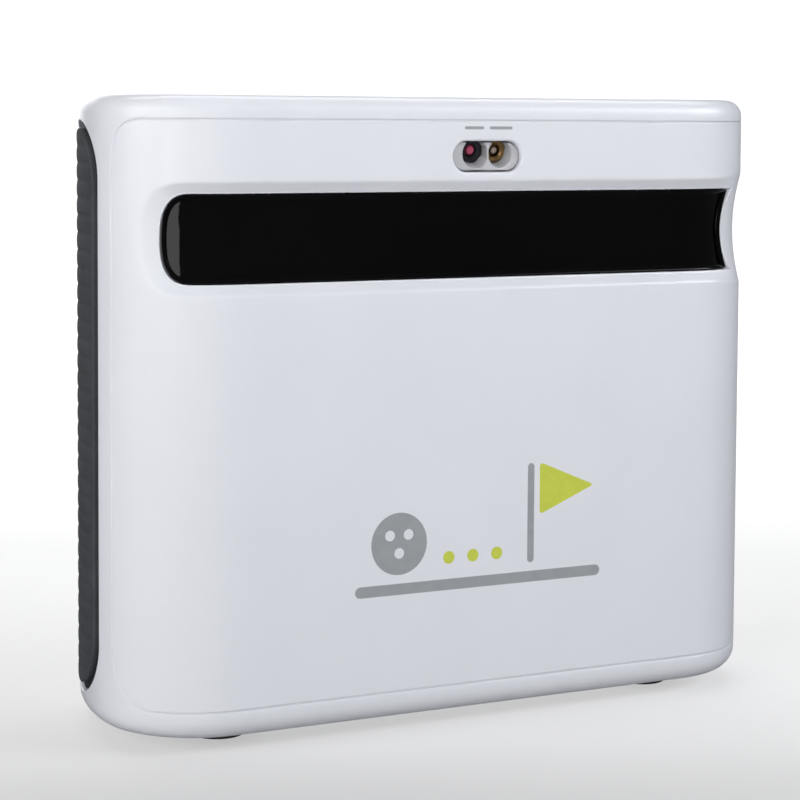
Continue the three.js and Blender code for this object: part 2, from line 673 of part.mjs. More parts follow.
// A round lead that follows a smooth line through points.
function lead(points, radius) {
  const path = new THREE.CatmullRomCurve3(points.map((p) => new THREE.Vector3(...p)));
  const shape = new THREE.Shape();
  shape.absarc(0, 0, radius, 0, 2 * Math.PI);
  return solid(new THREE.ExtrudeGeometry(shape, { steps: 12, curveSegments: 4, extrudePath: path }));
}
add(
  "battery_lead",
  lead([[30, -16, 64.3], [30, -16, 70], [30, -12, 75], [30, -6, 76], [30, -1.8, 76]], 1.2),
  copperLead,
);
add(
  "laser_lead",
  lead([[2.5, -16, 137.5], [2.5, -10, 139.8], [2.5, -3, 139.5], [2.5, -0.7, 132], [2.5, -0.7, 100.3]], 1),
  copperLead,
);

export default model;
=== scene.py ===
import math

import bmesh
import bpy
import numpy as np
from mathutils import Matrix, Vector
from mathutils.geometry import delaunay_2d_cdt


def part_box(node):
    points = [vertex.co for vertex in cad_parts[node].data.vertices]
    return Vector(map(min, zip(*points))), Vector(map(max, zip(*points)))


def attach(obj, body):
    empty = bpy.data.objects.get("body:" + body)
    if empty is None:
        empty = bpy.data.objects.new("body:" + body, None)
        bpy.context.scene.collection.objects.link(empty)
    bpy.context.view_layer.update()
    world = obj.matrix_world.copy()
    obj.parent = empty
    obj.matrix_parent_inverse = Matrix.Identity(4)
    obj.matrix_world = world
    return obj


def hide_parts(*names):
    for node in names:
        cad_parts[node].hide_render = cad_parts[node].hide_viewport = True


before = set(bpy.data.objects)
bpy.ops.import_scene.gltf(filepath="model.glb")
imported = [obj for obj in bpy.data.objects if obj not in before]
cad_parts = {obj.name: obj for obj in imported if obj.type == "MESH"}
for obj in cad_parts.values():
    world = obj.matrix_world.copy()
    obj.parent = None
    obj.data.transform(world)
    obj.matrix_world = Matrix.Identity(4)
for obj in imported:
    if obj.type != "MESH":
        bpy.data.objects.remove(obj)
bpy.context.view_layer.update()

# A golf launch monitor. Sizes here are in millimetres and the row frame is in metres, so MM scales
# every mesh as it is made. The front faces -Y and the table is at z 0.
MM = 0.001


def node_box(*names):
    """Lowest and highest corner, in millimetres, of the CAD nodes together."""
    boxes = [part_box(name) for name in names]
    low = np.min([np.array(b[0]) for b in boxes], axis=0) / MM
    high = np.max([np.array(b[1]) for b in boxes], axis=0) / MM
    return low, high


def middle(*names):
    low, high = node_box(*names)
    return (low + high) / 2


# --- Shell sizes ---
CORNER = 25.0
TOP_EDGE = 4.0
BOTTOM_EDGE = 5.5
WALL = 2.4
RIM = 0.3
GAP = 0.3
GRID = 2.6

SHELL_LOW, SHELL_HIGH = node_box("front_housing", "rear_cover")
FLAT_HALF = SHELL_HIGH[0] - CORNER
FRONT_Y = SHELL_LOW[1]
BACK_Y = SHELL_HIGH[1]
CORNER_Y = FRONT_Y + CORNER
REAR_CORNER = BACK_Y - CORNER_Y
HOUSING_SPLIT_Y = node_box("front_housing")[1][1]
COVER_SPLIT_Y = node_box("rear_cover")[0][1]
WALL_Z0 = SHELL_LOW[2] + BOTTOM_EDGE
WALL_Z1 = SHELL_HIGH[2] - TOP_EDGE

# --- The wall chart ---
# s runs along the plan outline from the front's middle, positive to the right.
TURNS = np.linspace(0, math.pi / 2, 721)
REAR_X = FLAT_HALF + CORNER * np.cos(TURNS)
REAR_Y = CORNER_Y + REAR_CORNER * np.sin(TURNS)
REAR_ARC = np.concatenate([[0], np.cumsum(np.hypot(np.diff(REAR_X), np.diff(REAR_Y)))])
S_WIDE = FLAT_HALF + CORNER * math.pi / 2
S_BACK = S_WIDE + REAR_ARC[-1]
S_END = S_BACK + FLAT_HALF


def plan(s):
    """Points and outward normals of the plan outline at s, as two arrays of (x, y)."""
    s = np.asarray(s, float)
    side = np.where(s < 0, -1.0, 1.0)
    along = np.abs(s)
    turn = np.clip((along - FLAT_HALF) / CORNER, 0, math.pi / 2)
    x = np.minimum(along, FLAT_HALF) + CORNER * np.sin(turn)
    y = CORNER_Y - CORNER * np.cos(turn)
    nx, ny = np.sin(turn), -np.cos(turn)
    back = np.interp(along - S_WIDE, REAR_ARC, TURNS)
    bx = FLAT_HALF + CORNER * np.cos(back) - np.maximum(0, along - S_BACK)
    by = CORNER_Y + REAR_CORNER * np.sin(back)
    bn = np.stack([np.cos(back) / CORNER, np.sin(back) / REAR_CORNER])
    bn /= np.linalg.norm(bn, axis=0)
    rear = along > S_WIDE
    x, y = np.where(rear, bx, x), np.where(rear, by, y)
    nx, ny = np.where(rear, bn[0], nx), np.where(rear, bn[1], ny)
    return np.stack([side * x, y], 1), np.stack([side * nx, ny], 1)


def on_wall(s, z, depth):
    """Points at this depth under the wall. z and depth are one number or one for each s."""
    at, normal = plan(s)
    return np.column_stack([at - normal * np.reshape(depth, (-1, 1)), np.broadcast_to(z, len(at))])


def s_of_x(x, depth=0.0):
    """s on the front half of the outline, for a point at this x and this depth under the wall."""
    turn = math.asin(min(1, max(0, (abs(x) - FLAT_HALF) / (CORNER - depth))))
    return math.copysign(min(abs(x), FLAT_HALF) + CORNER * turn, x)


def s_of_y(y):
    """s on the right end at depth y."""
    y = np.asarray(y, float)
    front = FLAT_HALF + CORNER * np.arccos(np.clip((CORNER_Y - y) / CORNER, -1, 1))
    rear = S_WIDE + np.interp(y, REAR_Y, REAR_ARC)
    return np.where(y < CORNER_Y, front, rear)


def s_of_back(q):
    """s for the distance q from the back's middle, positive towards -X."""
    return np.where(np.asarray(q) > 0, -1.0, 1.0) * (S_END - np.abs(q))


# --- Outlines ---
def resample(points, step, closed=True):
    """Adds points so that no stretch of the outline is longer than step."""
    points = [np.asarray(p, float) for p in points]
    ends = points[1:] + [points[0]] if closed else points[1:]
    out = []
    for a, b in zip(points, ends):
        count = max(1, math.ceil(np.linalg.norm(b - a) / step))
        out += [a + (b - a) * i / count for i in range(count)]
    return np.array(out if closed else out + [points[-1]])


def arc(x, z, rx, rz, start, end, steps):
    """Points of an elliptical arc, angles in degrees, anticlockwise."""
    t = np.radians(np.linspace(start, end, steps + 1))
    return [np.array([x + rx * math.cos(a), z + rz * math.sin(a)]) for a in t]


def rounded(x0, x1, z0, z1, low, high, steps=14):
    """A rectangle with corner radii low at the bottom and high at the top."""
    corners = [(x1 - low, z0 + low, low), (x1 - high, z1 - high, high)]
    corners += [(x0 + high, z1 - high, high), (x0 + low, z0 + low, low)]
    points = []
    for i, (x, z, r) in enumerate(corners):
        points += arc(x, z, r, r, 90 * i - 90, 90 * i, steps)
    return points


def circle(x, z, radius, steps=48):
    return np.array(arc(x, z, radius, radius, 0, 360, steps)[:-1])


def pill(x, z, half, rise, steps=24):
    flat = half - rise
    right = arc(x + flat, z, rise, rise, -90, 90, steps)
    return resample([*right, *arc(x - flat, z, rise, rise, 90, 270, steps)], 1.2)


def offset(loop, distance):
    """The anticlockwise loop moved outwards by distance."""
    before = loop - np.roll(loop, 1, 0)
    after = np.roll(loop, -1, 0) - loop

    def right(d):
        return np.stack([d[:, 1], -d[:, 0]], 1) / np.linalg.norm(d, axis=1)[:, None]

    a, b = right(before), right(after)
    mitre = (a + b) / (1 + (a * b).sum(1))[:, None]
    return loop + distance * mitre


def level(at, z):
    """The points with a last coordinate of z added to each."""
    return np.column_stack([at, np.broadcast_to(z, len(at))])


def ring_faces(rows, count):
    """Quads between closed rings of count points, and from the last ring to the first."""
    faces = []
    for k in range(rows):
        for j in range(count):
            a, b = k * count + j, k * count + (j + 1) % count
            c, d = (k + 1) % rows * count + (j + 1) % count, (k + 1) % rows * count + j
            faces.append([a, b, c, d])
    return faces


def smooth(value, low, high):
    t = np.clip((value - low) / (high - low), 0, 1)
    return t * t * (3 - 2 * t)


# --- Fascia, window and recess ---
FASCIA_LOW, FASCIA_HIGH = node_box("front_fascia")
FASCIA_THICK = 3.0
FASCIA_TOP_ROUND = 8.0
FASCIA_BOTTOM_ROUND = 12.0
FASCIA_S = s_of_x(FASCIA_HIGH[0])
FASCIA_SPAN = (-FASCIA_S, FASCIA_S, FASCIA_LOW[2], FASCIA_HIGH[2])
FASCIA = resample(rounded(*FASCIA_SPAN, FASCIA_BOTTOM_ROUND, FASCIA_TOP_ROUND), 2.0)

LENS_LOW, LENS_HIGH = node_box("window_lens")
LENS_DEPTH = 2.9
LENS_THICK = 2.0
WINDOW_Z = (LENS_LOW[2] + LENS_HIGH[2]) / 2
WINDOW_RISE = LENS_HIGH[2] - WINDOW_Z + GAP
WINDOW_LEFT = s_of_x(LENS_LOW[0], LENS_DEPTH) - GAP
WINDOW_HOLLOW = 4.6
LENS_TIP = WINDOW_HOLLOW * (1 - GAP / WINDOW_RISE) ** 2
WINDOW_RIGHT = s_of_x(LENS_HIGH[0], LENS_DEPTH) + GAP - LENS_TIP
WINDOW_END = 8.0
END_POWER = 2.6
RECESS_END = 12.4
RECESS_DEPTH = 1.85
RECESS_RISE = 12.55
SCOOP_RISE = 13.4
SCOOP_S = (66, 78)
FADE_S = (94, 96.5)
END_S = WINDOW_LEFT + WINDOW_END


def end_curve(length, rise, steps=30):
    """The left end from its top to its bottom, round END_S, as a superellipse."""
    t = np.linspace(math.pi / 2, -math.pi / 2, steps + 1)
    into = length * np.abs(np.cos(t)) ** (2 / END_POWER)
    return np.column_stack(
        [END_S - into, WINDOW_Z + rise * np.sign(np.sin(t)) * np.abs(np.sin(t)) ** (2 / END_POWER)]
    )


def window_loop():
    dz = np.linspace(-WINDOW_RISE, WINDOW_RISE, 21)
    hollow = np.column_stack(
        [WINDOW_RIGHT + WINDOW_HOLLOW * (dz / WINDOW_RISE) ** 2, WINDOW_Z + dz]
    )
    left = end_curve(WINDOW_END, WINDOW_RISE)
    return resample([*hollow, *left], 1.6)


WINDOW = window_loop()


def ramp(t, ease):
    """0 below 0 and t above it, rounded within ease of 0."""
    return np.where(t < -ease, 0, np.where(t > ease, t, (t + ease) ** 2 / (4 * ease)))


def recess_depth(s, z):
    """How deep the recess round the window and its finger scoop are below the wall."""
    dz = np.abs(z - WINDOW_Z)
    into = np.clip(END_S - s, 0, None)
    scoop = smooth(s, *SCOOP_S)
    rise = RECESS_RISE + scoop * (SCOOP_RISE - RECESS_RISE)
    outer = ((into / RECESS_END) ** END_POWER + (dz / rise) ** END_POWER) ** (1 / END_POWER)
    inner = ((into / WINDOW_END) ** END_POWER + (dz / WINDOW_RISE) ** END_POWER) ** (1 / END_POWER)
    out = (1 - outer) * rise
    rest = np.clip((inner - 1) * WINDOW_RISE, 0, None)
    t = out / np.maximum(out + rest, 1e-6)
    t = np.where(out + rest <= 1e-6, 1, t)
    flat = 1 - ramp(1 - ramp(t, 0.12), 0.1)
    hollow = ramp(1 - (dz / rise) ** 2, 0.03)
    fade = 1 - smooth(s, *FADE_S)
    return RECESS_DEPTH * fade * (flat + scoop * (hollow - flat))


def recess_rows():
    """Lines of mesh points along the recess's slopes, from the right above, round the left end."""
    rows = []
    right = np.arange(FADE_S[1] + 1, END_S, -2.2)
    for t in (-0.3, -0.14, 0, 0.14, 0.3, 0.55, 0.78, 0.9):
        length = RECESS_END + (WINDOW_END - RECESS_END) * t
        rise = RECESS_RISE + (WINDOW_RISE - RECESS_RISE) * t
        spread = rise + smooth(right, *SCOOP_S) * (SCOOP_RISE - RECESS_RISE)
        above = np.column_stack([right, WINDOW_Z + spread])
        below = np.column_stack([right, WINDOW_Z - spread])[::-1]
        rows.append(np.vstack([above, end_curve(length, rise), below]))
    return rows


# --- Filling outlines with triangles ---
EDGE_CLEAR = 0.22
GRID_CLEAR = 0.38
SLIVER = 1e-7


def inside(points, loop):
    x, y = points[:, 0], points[:, 1]
    found = np.zeros(len(points), bool)
    for (ax, ay), (bx, by) in zip(loop, np.roll(loop, -1, 0)):
        if ay != by:
            found ^= ((ay > y) != (by > y)) & (x < (bx - ax) * (y - ay) / (by - ay) + ax)
    return found


def nearest(points, others):
    """The squared distance from each point to the nearest of the others."""
    out = np.empty(len(points))
    for i in range(0, len(points), 500):
        gaps = points[i : i + 500, None] - others[None]
        out[i : i + 500] = (gaps**2).sum(2).min(1)
    return out


def edge_distance(points, loop):
    return np.sqrt(nearest(points, loop))


def fill(outline, holes=(), rows=(), prints=(), grid=GRID):
    """Points and triangles that fill the outline round its holes. The rows are lines of points
    that the triangles follow, and the prints are closed loops that they follow."""
    loops = [outline, *holes]
    edge = np.vstack(loops)
    points, edges = [], []

    def put(line, closed):
        first = len(points)
        points.extend(line)
        ids = list(range(first, len(points)))
        edges.extend(zip(ids, ids[1:] + ids[:1] if closed else ids[1:]))

    def within(line):
        keep = inside(line, outline)
        for hole in holes:
            keep &= ~inside(line, hole)
        return keep

    def clear(line):
        return within(line) & (nearest(line, edge) > EDGE_CLEAR**2)

    for loop in [*loops, *prints]:
        put(loop, True)
    for row in rows:
        keep = clear(row)
        start = 0
        for i in range(len(row) + 1):
            if i == len(row) or not keep[i]:
                if i - start > 1:
                    put(row[start:i], False)
                start = i + 1
    lines = [
        np.linspace(low, high, max(2, round((high - low) / grid)) + 1)[1:-1]
        for low, high in zip(outline.min(0), outline.max(0))
    ]
    mesh = np.stack(np.meshgrid(*lines), -1).reshape(-1, 2)
    mesh = mesh[clear(mesh)]
    points.extend(mesh[nearest(mesh, np.array(points)) > (GRID_CLEAR * grid) ** 2])
    found = delaunay_2d_cdt([Vector(p) for p in points], edges, [], 0, 1e-6)
    at = np.array([tuple(v) for v in found[0]])
    faces = np.array(found[2])
    a, b, c = (at[faces[:, i]] for i in range(3))
    area = (b - a)[:, 0] * (c - a)[:, 1] - (b - a)[:, 1] * (c - a)[:, 0]
    keep = within(at[faces].mean(1)) & (np.abs(area) > SLIVER)
    faces[area < 0] = faces[area < 0][:, ::-1]
    return at, faces[keep]


# --- From a sheet to a closed body ---
TINY = 1e-9
SHARPEST_TURN = 0.75


def close_sheet(outer, inner, faces, rim, steps=3):
    """A closed body from an outer sheet. Each vertex has its place on the inner side, and open
    edges turn in through a rounding of radius rim. The sheet's faces come first in the list."""
    faces = [[int(v) for v in face] for face in faces]
    used = {edge: True for face in faces for edge in zip(face, [*face[1:], face[0]])}
    open_edges = [(a, b) for a, b in used if (b, a) not in used]
    normal = outer - inner
    normal /= np.maximum(np.linalg.norm(normal, axis=1), TINY)[:, None]
    away = {}
    for a, b in open_edges:
        d = outer[b] - outer[a]
        d /= max(np.linalg.norm(d), TINY)
        for v in (a, b):
            side = np.cross(d, normal[v])
            away.setdefault(v, []).append(side / max(np.linalg.norm(side), TINY))
    ids = sorted(away)
    radius = np.broadcast_to(rim, len(outer))[ids, None]
    outward = np.empty((len(ids), 3))
    for i, v in enumerate(ids):
        total = np.sum(away[v], axis=0)
        half = np.linalg.norm(total) / len(away[v])
        outward[i] = total / max(np.linalg.norm(total), TINY) / max(half, SHARPEST_TURN)
    points = [outer]
    for t in np.linspace(0, math.pi / 2, steps + 1)[1:]:
        along, down = outward * radius * math.sin(t), normal[ids] * radius * (1 - math.cos(t))
        points.append(outer[ids] + along - down)
    points.append(inner[ids] + outward * radius)
    rings, count = [{v: v for v in ids}], len(outer)
    for _ in points[1:]:
        rings.append({v: count + i for i, v in enumerate(ids)})
        count += len(ids)
    rings.append({v: count + v for v in ids})
    made = list(faces)
    for up, down in zip(rings, rings[1:]):
        made += [[up[b], up[a], down[a], down[b]] for a, b in open_edges]
    made += [[count + v for v in face[::-1]] for face in faces]
    return np.vstack([*points, inner]), made


def wall_body(s, z, front, back, faces, rim, steps=3):
    """A closed body between two depths under the wall."""
    return close_sheet(on_wall(s, z, front), on_wall(s, z, back), faces, rim, steps)


def weld(outer, inner, faces, digits=3):
    _, first, same = np.unique(
        np.round(outer, digits), axis=0, return_index=True, return_inverse=True
    )
    same = same.reshape(-1)
    merged = []
    for face in faces:
        ring = [int(same[v]) for v in face]
        ring = [v for i, v in enumerate(ring) if v != ring[i - 1]]
        if len(set(ring)) == len(ring) > 2:
            merged.append(ring)
    return outer[first], inner[first], merged


def join_sheets(sheets):
    faces, start = [], 0
    for points, _, group in sheets:
        faces += [[int(v) + start for v in face] for face in group]
        start += len(points)
    return weld(np.vstack([s[0] for s in sheets]), np.vstack([s[1] for s in sheets]), faces)


# --- Blender objects ---
SHARP_EDGE = math.radians(35)


def add_object(name, data):
    made = bpy.data.objects.new(name, data)
    bpy.context.scene.collection.objects.link(made)
    return made


def mesh_piece(name, shape, slot, replaces=(), body="housing", material=None, inks=(), marks=None):
    """Makes one mesh piece that rides on a body. The shape is its points, in millimetres, and its
    faces. The marks give each face its ink, or 0 for the piece's own material."""
    points, faces = shape
    mesh = bpy.data.meshes.new(name)
    mesh.from_pydata([tuple(p) for p in np.asarray(points) * MM], [], [list(f) for f in faces])
    mesh.validate()
    build = bmesh.new()
    build.from_mesh(mesh)
    bmesh.ops.recalc_face_normals(build, faces=build.faces)
    for face in build.faces:
        face.smooth = True
    build.to_mesh(mesh)
    build.free()
    mesh.set_sharp_from_angle(angle=SHARP_EDGE)
    piece = add_object(name, mesh)
    for each in (material or MATERIALS[slot], *inks):
        mesh.materials.append(each)
    if marks is not None:
        mesh.polygons.foreach_set("material_index", marks)
    modifier = piece.modifiers.new("normals", "WEIGHTED_NORMAL")
    modifier.keep_sharp = True
    modifier.weight = 60
    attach(piece, body)
    if replaces:
        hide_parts(*replaces)


def moved(shape, matrix):
    """The points of a shape through the matrix, with its faces."""
    return [tuple(matrix @ Vector(p)) for p in shape[0]], shape[1]


def lathe(profile, steps, wobble=None):
    """A closed profile of (radius, height) turned about +Z. wobble(angle, radius, height) gives
    how far a point moves outwards."""
    profile = np.asarray(profile, float)
    points = []
    for a in np.linspace(0, 2 * math.pi, steps, endpoint=False):
        for r, z in profile:
            grow = r + (wobble(a, r, z) if wobble and r > 0 else 0)
            points.append((grow * math.cos(a), grow * math.sin(a), z))
    faces = [[a, d, c, b] for a, b, c, d in ring_faces(steps, len(profile))]
    outer, _, merged = weld(np.array(points), np.array(points), faces, 5)
    return outer, merged


def turned_piece(name, corners, rounds, steps, place, slot, replaces=(), wobble=None, **settings):
    """A piece turned from a profile with rounded corners, and moved to its place."""
    shape = moved(lathe(profile_round(corners, rounds), steps, wobble), place)
    mesh_piece(name, shape, slot, replaces, **settings)


def profile_round(points, radius, steps=4):
    """A closed profile with its corners rounded. radius is one number or one for each corner."""
    points = [np.asarray(p, float) for p in points]
    radii = [radius] * len(points) if np.ndim(radius) == 0 else radius
    out = []
    for i, p in enumerate(points):
        a, b = points[i - 1] - p, points[(i + 1) % len(points)] - p
        la, lb = np.linalg.norm(a), np.linalg.norm(b)
        r = min(radii[i], 0.45 * min(la, lb))
        if r < 1e-4:
            out.append(p)
            continue
        start, end = p + a / la * r, p + b / lb * r
        for t in np.linspace(0, 1, steps + 1):
            out.append((1 - t) ** 2 * start + 2 * t * (1 - t) * p + t * t * end)
    return out


def plate(outline, holes, front, back, rim, grid):
    """A flat plate facing -Y: the outline is in (x, z), between y front and y back."""
    at, faces = fill(offset(outline, -rim), [offset(h, rim) for h in holes], grid=grid)
    outer, inner = level(at, front)[:, [0, 2, 1]], level(at, back)[:, [0, 2, 1]]
    return close_sheet(outer, inner, faces, rim)


# Turns a shape made about +Z so that its axis points to +Y.
TO_BACK = Matrix.Rotation(math.radians(-90), 4, "X")


def back_place(name):
    """Puts a piece made about +Z on a CAD node's axis through the back."""
    x, _, z = middle(name)
    return Matrix.Translation((x, 0, z)) @ TO_BACK


# --- Materials ---
class Nodes:
    """A material's node tree, with short calls for the nodes used here."""

    def __init__(self, name, roughness, metallic=0.0, **sockets):
        self.material = bpy.data.materials.new(name)
        self.material.use_nodes = True
        self.tree = self.material.node_tree
        self.shader = self.tree.nodes["Principled BSDF"]
        for key, value in {"Roughness": roughness, "Metallic": metallic, **sockets}.items():
            self.shader.inputs[key.replace("_", " ")].default_value = value
        self.place = self.new("ShaderNodeTexCoord").outputs["Object"]

    def new(self, kind, inputs=None, links=None, **settings):
        """A node, with values and links for its inputs."""
        node = self.tree.nodes.new(kind)
        for key, value in settings.items():
            setattr(node, key, value)
        for key, value in (inputs or {}).items():
            node.inputs[key].default_value = value
        for key, socket in (links or {}).items():
            self.link(socket, node.inputs[key])
        return node

    def link(self, a, b):
        self.tree.links.new(a, b)

    def mapped(self, **inputs):
        node = self.new("ShaderNodeMapping", inputs, {"Vector": self.place})
        return node.outputs["Vector"]

    def placed(self, place):
        """Coordinates about a piece's own axis, where place puts the piece on the object."""
        inverse = place.inverted()
        return self.mapped(Location=inverse.translation * MM, Rotation=inverse.to_euler())

    def noise(self, scale, detail=3.0, roughness=0.55, stretch=(1, 1, 1)):
        inputs = {"Scale": scale, "Detail": detail, "Roughness": roughness}
        links = {"Vector": self.mapped(Scale=stretch)}
        return self.new("ShaderNodeTexNoise", inputs, links).outputs["Fac"]

    def ramp(self, value, stops):
        node = self.new("ShaderNodeValToRGB", links={"Fac": value})
        points = node.color_ramp.elements
        while len(points) < len(stops):
            points.new(0.5)
        for point, (position, color) in zip(points, stops):
            point.position = position
            point.color = (*color, 1) if np.ndim(color) else (color, color, color, 1)
        return node.outputs["Color"]

    def tones(self, value, dark, light, low=0.3, high=0.7):
        """Colours the surface from dark to light as the value goes from low to high."""
        color = self.ramp(value, [(low, dark), (high, light)])
        self.link(color, self.shader.inputs["Base Color"])

    def gloss(self, value, low, high):
        """Lets the roughness follow the value."""
        node = self.new("ShaderNodeMapRange", {"To Min": low, "To Max": high}, {"Value": value})
        self.link(node.outputs["Result"], self.shader.inputs["Roughness"])

    def bump(self, height, strength, distance):
        inputs = {"Strength": strength, "Distance": distance}
        node = self.new("ShaderNodeBump", inputs, {"Height": height})
        normal = self.shader.inputs["Normal"]
        if normal.is_linked:
            self.link(normal.links[0].from_socket, node.inputs["Normal"])
        self.link(node.outputs["Normal"], normal)


def surface(name, roughness, spots, tones, gloss=None, grains=(), **sockets):
    """A patchy material. spots is the noise that mixes the tones, gloss is the noise that varies
    the roughness between two values, and each grain is a noise, a strength and a depth."""
    n = Nodes(name, roughness, **sockets)
    n.tones(n.noise(*spots), *tones)
    if gloss:
        n.gloss(n.noise(*gloss[0]), *gloss[1:])
    for noise, strength, depth in grains:
        n.bump(n.noise(*noise), strength, depth)
    return n.material


def moulded(name, tones, roughness, grain=2600, depth=0.00002, strength=0.25, **sockets):
    """A moulded plastic: two close tones, uneven gloss and a fine grain."""
    gloss = ((210,), roughness * 0.88, roughness * 1.12)
    grains = [((grain, 2), strength, depth)]
    return surface(name, roughness, (38, 4), tones, gloss, grains, **sockets)


def print_ink(name, color):
    tones = ([c * 0.94 for c in color], color, 0.35, 0.65)
    return surface(name, 0.42, (420, 2), tones, None, [((3200, 1), 0.1, 0.00001)])


def rubber(name, dark, light, grain=900):
    tones, gloss = (dark, light, 0.25, 0.75), ((320,), 0.62, 0.84)
    grains = [((grain, 4, 0.6), 0.5, 0.00006), ((3600, 2), 0.35, 0.00003)]
    return surface(name, 0.72, (95, 5, 0.7), tones, gloss, grains, Specular_IOR_Level=0.22)


def brushed(name, color, roughness, stretch=(1, 1, 30)):
    """Worked metal: fine lines along one direction."""
    n = Nodes(name, roughness, 1.0)
    lines = n.noise(900, 3, 0.6, stretch)
    n.tones(lines, [c * 0.82 for c in color], color, 0.25, 0.75)
    n.gloss(lines, roughness * 0.75, roughness * 1.3)
    n.bump(lines, 0.2, 0.00001)
    return n.material


def turned(name, color, roughness, pitch, place):
    """Turned metal: rings about the Z axis of a piece that place puts on the object."""
    n = Nodes(name, roughness, 1.0)
    inputs, links = {"Scale": pitch, "Distortion": 0.6}, {"Vector": n.placed(place)}
    wave = n.new("ShaderNodeTexWave", inputs, links, wave_type="RINGS", rings_direction="Z")
    n.tones(wave.outputs["Fac"], [c * 0.55 for c in color], color, 0.1, 0.9)
    n.gloss(n.noise(700), roughness * 0.8, roughness * 1.25)
    n.bump(wave.outputs["Fac"], 0.3, 0.00004)
    return n.material


def circuit_board():
    """Solder mask over copper tracks, with pads."""
    n = Nodes("circuit_board", 0.4)
    mask = {
        "Scale": 160, "Mortar Size": 0.03, "Mortar": (0.03, 0.19, 0.075, 1),
        "Color1": (0.012, 0.085, 0.035, 1), "Color2": (0.016, 0.11, 0.045, 1),
    }
    upright = {"Vector": n.mapped(Rotation=(math.radians(90), 0, 0))}
    tracks = n.new("ShaderNodeTexBrick", mask, upright)
    pads = n.new("ShaderNodeTexVoronoi", {"Scale": 260}, {"Vector": n.place})
    spots = n.ramp(pads.outputs["Distance"], [(0.16, 1.0), (0.2, 0.0)])
    links = {"Factor": spots, "A": tracks.outputs["Color"]}
    mix = n.new("ShaderNodeMix", {"B": (0.55, 0.5, 0.36, 1)}, links, data_type="RGBA")
    n.link(mix.outputs["Result"], n.shader.inputs["Base Color"])
    n.bump(tracks.outputs["Fac"], 0.3, 0.00003)
    return n.material


def battery_wrap():
    """Shrink wrap round cells."""
    n = Nodes("battery_wrap", 0.3)
    links = {"Vector": n.place}
    wave = n.new("ShaderNodeTexWave", {"Scale": 17}, links, wave_type="BANDS", bands_direction="X")
    n.tones(n.noise(60), (0.012, 0.03, 0.07), (0.02, 0.045, 0.1))
    n.bump(wave.outputs["Fac"], 0.6, 0.0012)
    n.bump(n.noise(320), 0.3, 0.00005)
    return n.material


def laser_lens(name, place, middle_color, painted_shade_color, radius):
    """Tinted glass, paler in its middle, with painted shade that darkens it towards its rim."""
    n = Nodes(name, 0.1, Coat_Weight=0.5, Coat_Roughness=0.04)
    away = n.new("ShaderNodeVectorMath", links={0: n.placed(place)}, operation="LENGTH")
    links = {"Value": away.outputs["Value"]}
    spread = n.new("ShaderNodeMapRange", {"From Max": radius * MM}, links)
    n.tones(spread.outputs["Result"], middle_color, painted_shade_color, 0.55, 0.85)
    n.gloss(n.noise(500, 2), 0.07, 0.15)
    return n.material


# The lasers lie side by side behind the aperture, and point forwards and down.
BARREL_TILT = math.radians(14)
BARREL_R = 2.6
BARREL_LENGTH = 12.0


def laser_place(name):
    """Puts a piece made about +Z on the laser's axis, with z 0 at the barrel's face."""
    low, high = node_box(name + "_laser_barrel")
    rise, sink = BARREL_R * math.cos(BARREL_TILT), BARREL_R * math.sin(BARREL_TILT)
    face = ((low[0] + high[0]) / 2, low[1] + sink, low[2] + rise)
    return Matrix.Translation(face) @ Matrix.Rotation(BARREL_TILT - math.pi / 2, 4, "X")


POINTER = laser_place("pointer")
ALIGNMENT = laser_place("alignment")
WHITE_TONES = ((0.735, 0.745, 0.795), (0.755, 0.765, 0.815))
DARK_TONES = ((0.014, 0.0145, 0.017), (0.021, 0.0215, 0.025))
CABLE_TONES = ((0.012, 0.012, 0.014), (0.022, 0.022, 0.025))
# The aperture insert is white plastic; these grey tones are painted shade for its place deep in
# the aperture.
INSERT_PAINTED_SHADE_TONES = ((0.46, 0.46, 0.48), (0.52, 0.52, 0.54))
MATERIALS = {
    "shell_white": moulded("shell_white", WHITE_TONES, 0.3, 1900, 0.000012, 0.18),
    "window_black": surface(
        "window_black", 0.045, (14, 2), ((0.0016, 0.0016, 0.0018), (0.0028, 0.0026, 0.0030)),
        ((60, 4), 0.035, 0.06), [((9, 1), 0.05, 0.0002)], Specular_IOR_Level=0.19,
    ),
    "dark_plastic": moulded("dark_plastic", DARK_TONES, 0.55, Specular_IOR_Level=0.3),
    "grip_rubber": rubber("grip_rubber", (0.044, 0.048, 0.053), (0.066, 0.071, 0.077)),
    "foot_rubber": rubber("foot_rubber", (0.018, 0.018, 0.02), (0.034, 0.034, 0.037), 1400),
    "steel": brushed("steel", (0.56, 0.57, 0.59), 0.3),
    "aluminium": brushed("aluminium", (0.74, 0.75, 0.77), 0.36, (1, 30, 1)),
    "brass": turned("brass", (0.62, 0.4, 0.17), 0.34, 700, ALIGNMENT),
    "circuit_board": circuit_board(),
    "battery_wrap": battery_wrap(),
    "cable_black": moulded("cable_black", CABLE_TONES, 0.45, 1500),
    "clear_plastic": surface(
        "clear_plastic", 0.08, (240, 2), ((0.74, 0.8, 0.82), (0.86, 0.9, 0.92)),
        ((500, 2), 0.06, 0.14), Transmission_Weight=0.55, IOR=1.49,
    ),
    # The pointer's lens darkens towards its rim with painted shade.
    "red_lens": laser_lens("red_lens", POINTER, (0.56, 0.09, 0.17), (0.2, 0.02, 0.06), 1.6),
}
PRINT_GREY = print_ink("print_grey", (0.33, 0.345, 0.36))
PRINT_LIME = print_ink("print_lime", (0.58, 0.64, 0.08))


# --- Front fascia with its printed mark ---
APERTURE_LOW, APERTURE_HIGH = node_box("aperture_shroud")
APERTURE_X, _, APERTURE_Z = (APERTURE_LOW + APERTURE_HIGH) / 2
APERTURE_HALF = (APERTURE_HIGH[0] - APERTURE_LOW[0]) / 2 + GAP
APERTURE_RISE = 3.55
APERTURE_EDGE = 0.7
